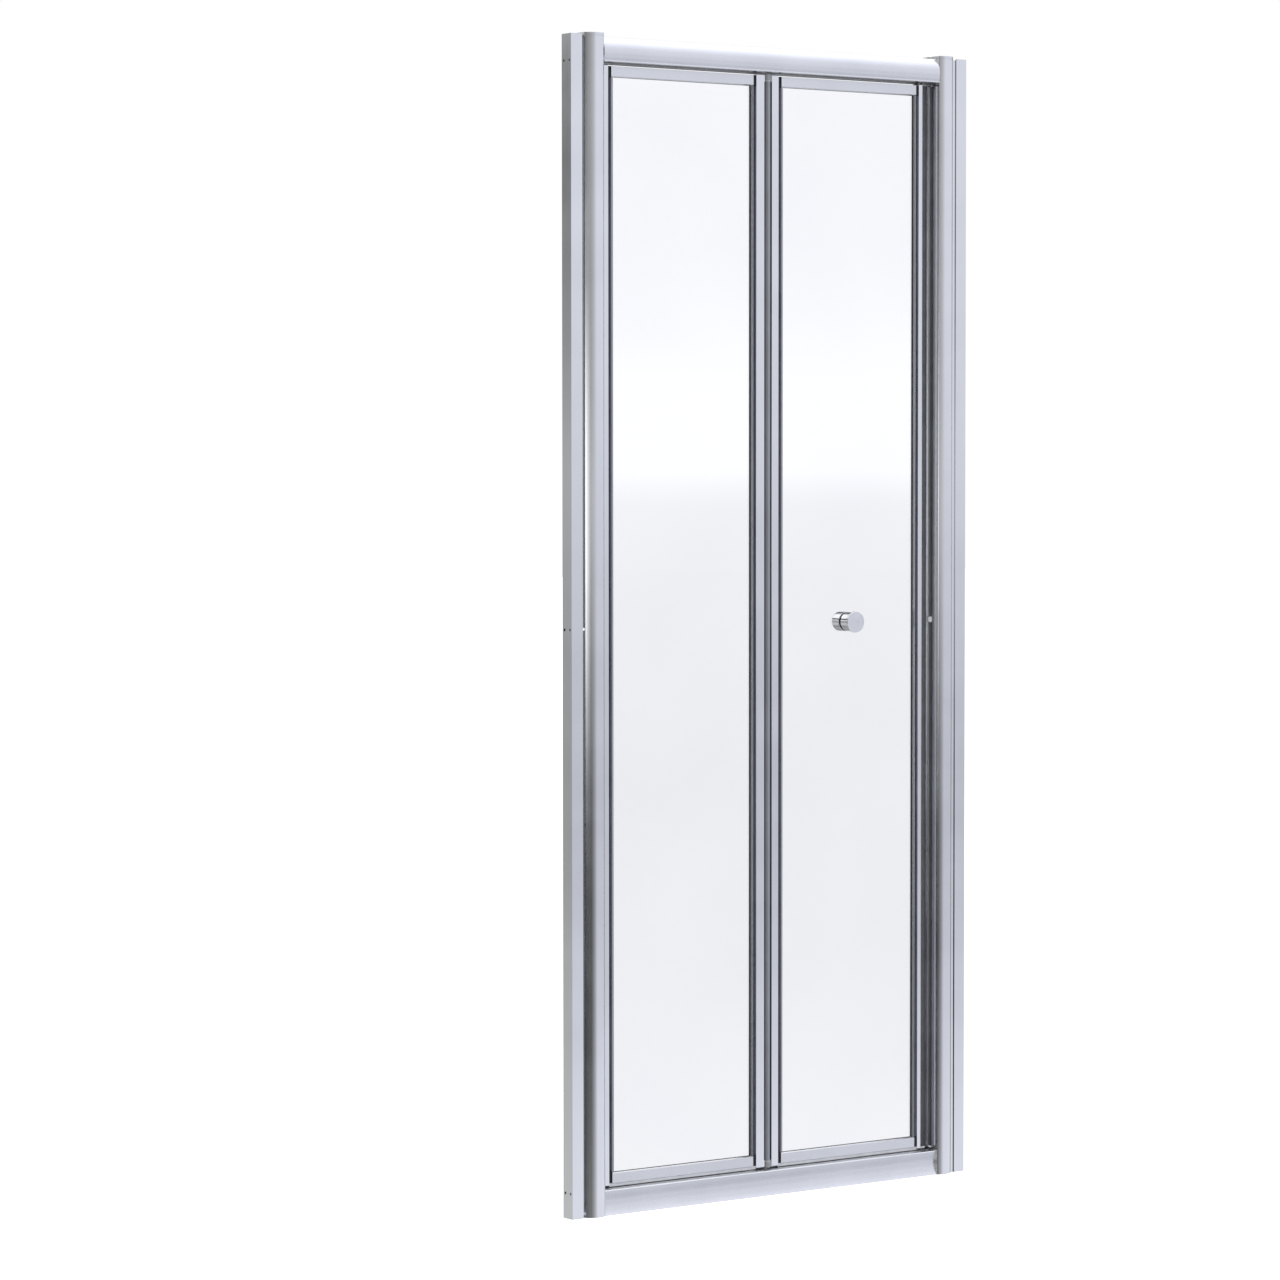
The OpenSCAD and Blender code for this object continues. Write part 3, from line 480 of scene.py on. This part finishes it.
fittings = {
    "jamb_screw_left": (zinc_steel, 0.25),
    "jamb_screw_right": (zinc_steel, 0.25),
    "screw_cap_left": (white_abs, 0.2),
    "screw_cap_right": (white_abs, 0.2),
    "head_rail_screws": (zinc_steel, 0.3),
    "bottom_rail_screws": (zinc_steel, 0.3),
    "track_liner": (white_nylon, 0.1),
    "pivot_block_top": (black_nylon, 0.4),
    "pivot_block_bottom": (black_nylon, 0.4),
    "pivot_bush_top": (natural_acetal, 0.15),
    "pivot_bush_bottom": (natural_acetal, 0.15),
}
for node, (material, radius) in fittings.items():
    eased(node, material, radius)

# ---------------------------------------------------------------------------------------
# Panels' stiles and rails: extruded tubes with rounded edges. A glazing channel, anodised
# greyer, stands off each stile's glass side beyond a dark groove, and the panel rails run
# between the channels. The hinge stile carries the fold hinge's barrel, which is matt.

panel_front, panel_back = 18, 36
stile_low, stile_high = 43.4, 1807.6
stile_wall = 1.4
rail_low, rail_high, rail_height = 46.4, 1806.6, 17
rail_bevel_run, rail_bevel_fall = 2.2, 1.4
pivot_face, hinge_face, fold_face, leading_face = -316, -24.1, 21.3, 313.3
channel_low, channel_high = rail_low + rail_height, rail_high - rail_height
channel_side, pocket_side, cover_side = 5.8, 6.9, 8.2
channel_overlap, channel_shoulder, rubber_space = 0.3, 6.6, 0.2
pocket_front, pocket_back, pocket_depth, lip_back = 21.2, 27.4, 4.2, 28.8
glass_front, glass_back = 22.3, 26.3

channel_metal = bright_aluminium(
    "grey_anodised_channel", "upright", ("#B4B6BC", "#BABCC2"), polish=(0.24, 0.34)
)


def glazing_channel(name, node, body, x, way):
    """Stands a glazing channel off a stile's face at x; way is 1 when the glass is to its
    right. Its section is given as distances from the face and from the door's front."""
    land, foot = (2, 3) if way > 0 else (0.6, 1)
    section = [
        (channel_side, panel_front),
        (channel_side + land, panel_front),
        (cover_side + land / 2, glass_front - rubber_space),
        (pocket_side, glass_front - rubber_space),
        (pocket_side, pocket_back),
        (cover_side, pocket_back),
        (cover_side, lip_back),
        (-channel_overlap, lip_back),
        (-channel_overlap, pocket_back),
        (foot, pocket_back),
        (foot, panel_front + channel_shoulder),
    ]
    path = [(x + way * across, back) for across, back in section]
    bm = bmesh.new()
    stand(bm, draw(bm, path, ease=0.15), channel_low, channel_high)
    finish_piece(bm, name, channel_metal, body, [node])


def stile(node, body, tube, x, way):
    """A stile of a panel: its tube's outline, and its glass-side face at x."""
    name = node + "_extrusion"
    bm = bmesh.new()
    tube_wall = hollow(bm, draw(bm, tube, ease=0.6), stile_wall)
    stand(bm, tube_wall, stile_low, stile_high)
    finish_piece(bm, name, upright_metal, body, [node])
    glazing_channel(name + "_channel", node, body, x, way)


pivot_tube = box_path(-332, panel_front, pivot_face, panel_back)
hinge_tube = box_path(hinge_face, panel_front, -7.6, panel_back)
fold_tube = box_path(7.3, panel_front, fold_face, panel_back)
leading_tube = [
    (leading_face, panel_front),
    (321.4, panel_front),
    (321.4, 22.5),
    (325.4, 22.5),
    (325.4, panel_back),
    (leading_face, panel_back),
]
stile("pivot_stile", "pivot_panel", pivot_tube, pivot_face, 1)
stile("hinge_stile", "pivot_panel", hinge_tube, hinge_face, -1)
stile("fold_stile", "leading_panel", fold_tube, fold_face, 1)
stile("leading_stile", "leading_panel", leading_tube, leading_face, -1)

matt_metal = bright_aluminium(
    "matt_anodised_barrel", "upright", ("#A2A5AB", "#ADB0B6"), polish=(0.4, 0.5)
)
barrel_low, barrel_high = 53.4, 1797.6
barrel_x, barrel_y, barrel_radius = -1.6, 18, 4.5
leaf = box_path(-8, 19.4, barrel_x - 2, 21.4)
bm = bmesh.new()
ring = bmesh.ops.create_circle(bm, cap_ends=True, radius=barrel_radius, segments=72)
bmesh.ops.translate(bm, vec=(barrel_x, barrel_y, 0), verts=ring["verts"])
disc = list({f for v in ring["verts"] for f in v.link_faces})
stand(bm, disc, barrel_low, barrel_high)
stand(bm, draw(bm, leaf), barrel_low, barrel_high)
finish_piece(bm, "hinge_barrel", matt_metal, "pivot_panel", ["hinge_stile"])


def panel_rail(name, node, body, x0, x1, top):
    """A panel's rail between two glazing channels; the top one is the bottom one upside down."""
    edge, glass = rail_low, rail_low + rail_height
    section = [
        (panel_front, edge),
        (lip_back, edge),
        (lip_back, glass),
        (pocket_back, glass),
        (pocket_back, glass - pocket_depth),
        (pocket_front, glass - pocket_depth),
        (pocket_front, glass),
        (panel_front + rail_bevel_run, glass),
        (panel_front, glass - rail_bevel_fall),
    ]
    if top:
        section = [(back, rail_low + rail_high - height) for back, height in section]
    bm = bmesh.new()
    stand(bm, draw(bm, section, ease=0.25), x0, x1)
    lie(bm)
    finish_piece(bm, name, level_metal, body, [node])


spans = {"pivot_panel": (pivot_face, hinge_face), "leading_panel": (fold_face, leading_face)}
for body, (left, right) in spans.items():
    x0, x1 = left + channel_side, right - channel_side
    panel_rail(body + "_bottom_extrusion", body + "_bottom_rail", body, x0, x1, False)
    panel_rail(body + "_top_extrusion", body + "_top_rail", body, x0, x1, True)

# ---------------------------------------------------------------------------------------
# Panes: clear toughened float glass, 4 mm thick, in a black rubber gasket with bridging
# blocks and screws at the frame's corners. The glass keeps its true shape; it shows a cool
# tint and the polish of float glass, and a clear coat strengthens what it mirrors.

clear_glass, tree, shader = blank_material("clear_float_glass")
place = add(tree, "ShaderNodeTexCoord").outputs["Object"]
ripple_size = 0.25
ripple = noise(tree, place, scale=1 / ripple_size, detail=1)
tint = ramp(tree, ripple, [(0.3, "#F7F8FB"), (0.7, "#FAFBFD")])
tree.links.new(tint, shader.inputs["Base Color"])
glass_values = {
    "Roughness": 0,
    "Transmission Weight": 1,
    "IOR": 1.5,
    "Coat Weight": 1,
    "Coat Roughness": 0,
    "Coat IOR": 1.7,
}
for socket, value in glass_values.items():
    shader.inputs[socket].default_value = value
emboss(tree, shader, ripple, strength=0.05, depth=0.00002)
for body in spans:
    nodes[body + "_glass"].data.materials[0] = clear_glass

black_rubber = plain_solid(
    "black_rubber", ("#1A1B1D", "#26272A"), rough=(0.55, 0.7), grain=0.6, bump=0.03
)
gasket_low, gasket_high = 59.2, 1793.8
front_leg, back_cover, edge_cover = 0.6, 1.3, 0.45
gasket_legs = (
    (pocket_depth, pocket_depth, glass_front - front_leg, glass_front),
    (back_cover, pocket_depth, glass_back, pocket_back),
    (edge_cover, edge_cover, glass_front, glass_back),
)


def gasket_leg(bm, x0, x1, cover, rise, front, back):
    """One leg of a gasket round a pane: cover is its width at the stiles, rise at the rails."""
    rims = []
    for side, height in ((0, 0), (cover, rise)):
        path = box_path(x0 + side, gasket_low + height, x1 - side, gasket_high - height)
        rim = draw(bm, path)
        rims += rim[0].edges
        bmesh.ops.delete(bm, geom=rim, context="FACES_ONLY")
    stand(bm, bmesh.ops.bridge_loops(bm, edges=rims)["faces"], front, back)


for body, (left, right) in spans.items():
    bm = bmesh.new()
    for leg in gasket_legs:
        gasket_leg(bm, left + pocket_side, right - pocket_side, *leg)
    facing_front = Matrix(((1, 0, 0, 0), (0, 0, 1, 0), (0, 1, 0, 0), (0, 0, 0, 1)))
    bmesh.ops.transform(bm, matrix=facing_front, verts=bm.verts)
    finish_piece(
        bm, body + "_glazing_gasket", black_rubber, body, [body + "_gasket"]
    )
    eased(body + "_corner_blocks", black_nylon, radius=0.3)
    eased(body + "_corner_screws", zinc_steel, radius=0.3)

# ---------------------------------------------------------------------------------------
# Seals: extruded soft vinyl and rubber-bonded magnets, pushed into the extrusions, with
# round edges, a matt skin and a slightly cloudy colour. A thin brush strip hangs under the
# head rail, and a wiper with a lip runs under each panel.

soft_vinyl = plain_solid(
    "soft_grey_vinyl", ("#C2C4C8", "#CED0D4"), rough=(0.4, 0.55), grain=1, bump=0.03
)
# The jamb's magnet strip is the same pale vinyl toned down to about a third: painted shade of the
# deep gap it sits in.
shade_painted_magnet = plain_solid(
    "magnet_strip_painted_shade", ("#6E6F72", "#7A7B7E"), rough=(0.4, 0.55), grain=1, bump=0.03
)
pale_magnet = plain_solid(
    "pale_magnet_strip", ("#C4C5C8", "#D0D1D4"), rough=(0.4, 0.55), grain=1, bump=0.03
)


def seal(name, node, sections, low, high, material, level=False):
    """A seal made of one or more soft outlines, each with its corners' radius."""
    bm = bmesh.new()
    for path, ease in sections:
        stand(bm, draw(bm, path, ease), low, high)
    if level:
        lie(bm)
    finish_piece(bm, name, material, body_of[node], [node])


jamb_magnet = [
    (box_path(331.7, 30, 335.9, 38), 1.2),
    (box_path(335.5, 31.4, 339.3, 36.6), 0.4),
]
door_magnet = [
    (box_path(326.4, 28, 330.5, 36), 1.2),
    (box_path(325.3, 29.4, 326.9, 34.6), 0.2),
]
fin = [
    (box_path(-339.2, 33, -337.7, 39), 0.5),
    (box_path(-337.9, 35.6, -336.2, 36.4), 0.35),
]
fold_bead = [(box_path(3.2, 19.5, 7.3, 23.5), 1.2)]
wiper = [
    (box_path(19, 44.6, 26, 46.4), 0.5),
    (box_path(19, 41, 20.2, 44.8), 0.4),
]
# The jamb's strip takes the darkened vinyl, which paints in the shade of its gap.
seal(
    "jamb_magnet_strip",
    "jamb_magnet_seal",
    jamb_magnet,
    stile_low,
    stile_high,
    shade_painted_magnet,
)
seal(
    "door_magnet_strip",
    "door_magnet_seal",
    door_magnet,
    stile_low,
    stile_high,
    pale_magnet,
)
seal("jamb_fin", "jamb_fin_seal", fin, stile_low, stile_high, soft_vinyl)
seal("fold_strip", "fold_seal", fold_bead, barrel_low, barrel_high, black_rubber)

brush = box_path(33.5, 1809.6, 37, 1811.3)
bm = bmesh.new()
stand(bm, draw(bm, brush, ease=0.3), -rail_half, rail_half)
lie(bm)
finish_piece(bm, "head_rail_brush", soft_vinyl, "frame", [])

for body, (left, right) in spans.items():
    name = body + "_wiper"
    node = body + "_drip_seal"
    seal(name, node, wiper, left, right, soft_vinyl, level=True)

# ---------------------------------------------------------------------------------------
# Shoes, pins and sliders: nylon shoes pressed into the stiles' ends, grey at the hinge and
# black elsewhere. Stainless pins turn in bushes, a stainless rod between white washers is
# the fold hinge's axle, and black nylon sliders run in the channels.

turned_steel = plain_solid(
    "turned_stainless_steel",
    ("#BFC2C5", "#D2D4D7"),
    rough=(0.14, 0.24),
    grain=1,
    bump=0.01,
    metallic=1,
)
grey_nylon = plain_solid(
    "moulded_grey_nylon", ("#8E9094", "#9A9CA0"), rough=(0.35, 0.5), grain=0.8, bump=0.03
)
moving = {
    "pivot_shoe_top": (black_nylon, 0.3),
    "pivot_shoe_bottom": (black_nylon, 0.3),
    "hinge_shoe_top": (grey_nylon, 0.3),
    "hinge_shoe_bottom": (grey_nylon, 0.3),
    "guide_shoe_top": (black_nylon, 0.3),
    "guide_shoe_bottom": (black_nylon, 0.3),
    "pivot_pin_top": (turned_steel, 0.3),
    "pivot_pin_bottom": (turned_steel, 0.3),
    "guide_pin_top": (turned_steel, 0.3),
    "guide_pin_bottom": (turned_steel, 0.3),
    "hinge_rod": (turned_steel, 0.3),
    "hinge_washers": (white_nylon, 0.15),
    "guide_slider_top": (black_nylon, 0.6),
    "guide_slider_bottom": (black_nylon, 0.6),
}
for node, (material, radius) in moving.items():
    eased(node, material, radius)

# ---------------------------------------------------------------------------------------
# Knob: two turned brass halves, polished and chromed, pulled together through the glass by a
# threaded stud. The outer half flares at its end; black rubber rings keep them off the glass.

chrome = plain_solid(
    "polished_chrome", ("#E8E9EC", "#F0F1F3"), rough=(0.03, 0.06), grain=2, bump=0.002, metallic=1
)
knob_x, knob_z = 167.3, 925


def turned(name, node, profile, face_y, way, material):
    """Turns a profile, given as radius and length, about the knob's axis, away from the glass
    at face_y; way is -1 towards the outside."""
    bm = bmesh.new()
    here = bm.verts.new((profile[0][0], 0, profile[0][1]))
    for radius, length in profile[1:]:
        here = bmesh.ops.extrude_vert_indiv(bm, verts=[here])["verts"][0]
        here.co = Vector((radius, 0, length))
    bmesh.ops.spin(
        bm,
        geom=list(bm.verts) + list(bm.edges),
        cent=(0, 0, 0),
        axis=(0, 0, 1),
        angle=math.radians(360),
        steps=96,
        use_merge=True,
    )
    turn = Matrix.Rotation(math.radians(-90 * way), 4, "X")
    seat = Matrix.Translation((knob_x, face_y, knob_z))
    bmesh.ops.transform(bm, matrix=seat @ turn, verts=bm.verts)
    finish_piece(bm, name, material, body_of[node], [node])


outer_knob = [
    (0, 1),
    (15, 1),
    (15.4, 1.4),
    (15.4, 15.5),
    (15.55, 16.6),
    (16, 17.6),
    (16.7, 18.4),
    (17.3, 19.1),
    (17.4, 19.8),
    (17.4, 21.2),
    (17.2, 21.7),
    (16.7, 22),
    (0, 22),
]
inner_knob = [
    (0, 1),
    (15.4, 1),
    (15.8, 1.4),
    (15.8, 17.5),
    (15.6, 18.5),
    (15, 19.2),
    (14, 19.5),
    (0, 19.5),
]
turned("outer_knob", "knob_outer", outer_knob, glass_front, -1, chrome)
turned("inner_knob", "knob_inner", inner_knob, glass_back, 1, chrome)
eased("knob_gaskets", black_rubber, radius=0.25)
eased("knob_spindle", turned_steel, radius=0.3)

# ---------------------------------------------------------------------------------------
# Studio: a pale floor, two soft lamps, a white surround, and the camera at the photograph's
# place, all sized in metres. The metal mirrors a surround of its own, drawn as grey ramps:
# even light where the front faces look, darker sides and a bright line at the horizon.

scene.view_settings.view_transform = "Standard"


def seen_through(tree, ray):
    """One for what shows straight through glass, and zero for what metal mirrors through it.
    The half tells no mirrored bounce from one."""
    direct = reckon(tree, "LESS_THAN", ray.outputs["Glossy Depth"], 0.5)
    return reckon(tree, "MULTIPLY", ray.outputs["Is Transmission Ray"], direct)


def mix(tree, part, first, second):
    """Mixes two shaders; part is the second one's share."""
    return add(
        tree, "ShaderNodeMixShader", links={0: part, 1: first.outputs[0], 2: second.outputs[0]}
    )


floor_half, floor_height = 30, -0.0004
floor_glow, floor_through_glass = 0.62, 0.965
bm = bmesh.new()
bmesh.ops.create_grid(bm, x_segments=1, y_segments=1, size=floor_half)
bmesh.ops.translate(bm, vec=(0, 0, floor_height), verts=bm.verts)
mesh = bpy.data.meshes.new("floor")
bm.to_mesh(mesh)
bm.free()
floor = bpy.data.objects.new("floor", mesh)
scene.collection.objects.link(floor)
floor_paint = bpy.data.materials.new("matt_white_floor")
floor_paint.use_nodes = True
tree = floor_paint.node_tree
tree.nodes.clear()
ray = add(tree, "ShaderNodeLightPath")
matt = add(tree, "ShaderNodeBsdfDiffuse", {"Color": colour("#F4F4F5")})
glow = reckon(tree, "MULTIPLY", ray.outputs["Is Camera Ray"], floor_glow)
light = add(tree, "ShaderNodeEmission", {"Color": (1, 1, 1, 1)}, {"Strength": glow})
lit = add(tree, "ShaderNodeAddShader", links={0: matt.outputs[0], 1: light.outputs[0]})
pale = add(tree, "ShaderNodeEmission", {"Color": (1, 1, 1, 1), "Strength": floor_through_glass})
lit_or_pale = mix(tree, seen_through(tree, ray), lit, pale)
in_metal = reckon(tree, "GREATER_THAN", ray.outputs["Glossy Depth"], 0.5)
clear = add(tree, "ShaderNodeBsdfTransparent")
surface = mix(tree, in_metal, lit_or_pale, clear)
add(tree, "ShaderNodeOutputMaterial", links={"Surface": surface.outputs[0]})
mesh.materials.append(floor_paint)
floor.visible_glossy = False

world = bpy.data.worlds.new("studio")
scene.world = world
world.use_nodes = True
tree = world.node_tree
tree.nodes.clear()
direction = add(tree, "ShaderNodeTexCoord").outputs["Generated"]
up = add(tree, "ShaderNodeSeparateXYZ", links={"Vector": direction}).outputs["Z"]
square_root = reckon(tree, "POWER", reckon(tree, "ABSOLUTE", up), 0.5)
spread = reckon(tree, "MULTIPLY", square_root, reckon(tree, "SIGN", up))


def full_range(source):
    """Brings a value from the range -1 to 1 into the range 0 to 1."""
    return add(
        tree,
        "ShaderNodeMapRange",
        {"From Min": -1, "From Max": 1, "To Min": 0, "To Max": 1},
        {"Value": source},
    ).outputs[0]


height = full_range(spread)


def at(elevation):
    """Where an elevation in degrees falls on the ramps, which are finest at the horizon."""
    level = math.sin(math.radians(elevation))
    return 0.5 + 0.5 * math.copysign(abs(level) ** 0.5, level)


def sky(*stops):
    """A grey that changes with height; stops are elevations in degrees with their colours."""
    return ramp(tree, height, [(at(elevation), shade) for elevation, shade in stops])


front_light = sky(
    (-40, "#AAACB3"),
    (-26, "#94969D"),
    (-14, "#96989F"),
    (-11.2, "#B2B4BB"),
    (-9, "#B2B4BB"),
    (-7, "#9FA1A8"),
    (-4.5, "#95979D"),
    (-0.5, "#A5A7AE"),
    (5, "#ACAEB5"),
    (18, "#ACAEB5"),
    (26, "#B8BAC2"),
    (34, "#CACCD4"),
    (42, "#E4E6EE"),
    (50, "#FFFFFF"),
)
side_light = sky(
    (-52, "#A0A0A0"),
    (-34, "#585858"),
    (-20, "#949494"),
    (-10.5, "#484848"),
    (-6.5, "#101010"),
    (-4, "#404040"),
    (-1.8, "#FFFFFF"),
    (0.5, "#FFFFFF"),
    (2, "#6A6A6A"),
    (5, "#484848"),
    (30, "#606060"),
    (46, "#A8A8A8"),
)
beyond_light = sky(
    (-52, "#A0A0A0"),
    (-34, "#585858"),
    (-20, "#949494"),
    (-10, "#484848"),
    (-3, "#303030"),
    (-1, "#A0A0A0"),
    (0.5, "#A0A0A0"),
    (2, "#181818"),
    (34, "#181818"),
    (46, "#A8A8A8"),
)
corner_light = sky(
    (-30, "#A0A0A0"),
    (-15, "#A0A0A0"),
    (-10.5, "#606060"),
    (-7, "#303030"),
    (-4.5, "#404040"),
    (-1.5, "#808080"),
    (-0.5, "#A4A4A4"),
    (0.5, "#7C7C7C"),
    (5, "#7C7C7C"),
    (40, "#A8A8A8"),
)
back_light = sky(
    (-52, "#A0A0A0"),
    (-34, "#585858"),
    (-22, "#949494"),
    (-10, "#989898"),
    (-5, "#787878"),
    (-2, "#7C7C7C"),
    (0, "#909090"),
    (5, "#525252"),
    (8, "#C8C8C8"),
    (11, "#C8C8C8"),
    (14, "#181818"),
    (20, "#181818"),
    (24, "#D0D0D0"),
    (42, "#D0D0D0"),
    (50, "#A8A8A8"),
)


def share(bearing, *stops):
    """A part of the surround about a bearing, which runs clockwise from the door's back, so
    that 180 is straight in front. Stops give greys for directions from opposite the bearing,
    at 0, to along it, at 1."""
    turn = math.radians(bearing)
    dot = add(
        tree,
        "ShaderNodeVectorMath",
        {1: (math.sin(turn), math.cos(turn), 0)},
        {0: direction},
        operation="DOT_PRODUCT",
    )
    return ramp(tree, full_range(dot.outputs["Value"]), stops)


def blend(part, low, high):
    """Mixes two of the ramps' colours by a share."""
    links = {0: part, 6: low, 7: high}
    return add(tree, "ShaderNodeMix", links=links, data_type="RGBA").outputs[2]


to_side = share(232, (0.55, "#000000"), (0.9, "#FFFFFF"))
to_beyond = share(30, (0.83, "#000000"), (0.89, "#FFFFFF"))
to_corner = share(180, (0.65, "#000000"), (0.94, "#FFFFFF"))
to_front = share(128, (0.58, "#000000"), (0.77, "#A0A0A0"), (0.92, "#FFFFFF"))
around = blend(to_side, back_light, side_light)
around = blend(to_beyond, around, beyond_light)
around = blend(to_corner, around, corner_light)
around = blend(to_front, around, front_light)
beyond_glass = sky(
    (-2, "#EFEFEF"),
    (-0.65, "#F1F1F1"),
    (-0.2, "#FFFFFF"),
    (1, "#FFFFFF"),
    (1.7, "#FAFAFA"),
    (2.7, "#F6F6F6"),
    (4.4, "#F4F4F4"),
)
mirrored_strength, backdrop_strength = 2, 1.12
ray = add(tree, "ShaderNodeLightPath")
mirrored = add(tree, "ShaderNodeBackground", {"Strength": mirrored_strength}, {"Color": around})
white = add(tree, "ShaderNodeBackground", {"Color": (1, 1, 1, 1), "Strength": 1})
backdrop = add(
    tree, "ShaderNodeBackground", {"Strength": backdrop_strength}, {"Color": beyond_glass}
)
by_camera = mix(tree, ray.outputs["Is Camera Ray"], mirrored, white)
by_glass = mix(tree, seen_through(tree, ray), by_camera, backdrop)
add(tree, "ShaderNodeOutputWorld", links={"Surface": by_glass.outputs[0]})


def lamp(name, place, aim, size, power):
    """A soft square lamp, aimed at a point, that shows neither in metal nor through glass."""
    data = bpy.data.lights.new(name, "AREA")
    data.size = size
    data.energy = power
    made = bpy.data.objects.new(name, data)
    made.location = place
    made.rotation_euler = (Vector(aim) - Vector(place)).to_track_quat("-Z", "Y").to_euler()
    made.visible_glossy = False
    made.visible_camera = False
    made.visible_transmission = False
    scene.collection.objects.link(made)


door_middle = (0, 0, 0.9)
lamp("key_lamp", (2.5, -3.5, 3.2), door_middle, size=2.5, power=90)
lamp("fill_lamp", (-3.5, -1.5, 2.5), door_middle, size=2.5, power=25)

camera_data = bpy.data.cameras.new("camera")
camera_data.lens = 123.035
camera_data.sensor_width = 36
camera_data.clip_end = 100
camera = bpy.data.objects.new("camera", camera_data)
camera.location = (-4.3119, -5.5798, 1.1962)
camera.rotation_euler = [math.radians(a) for a in (87.593, 0.045, -35.93)]
scene.collection.objects.link(camera)
scene.camera = camera
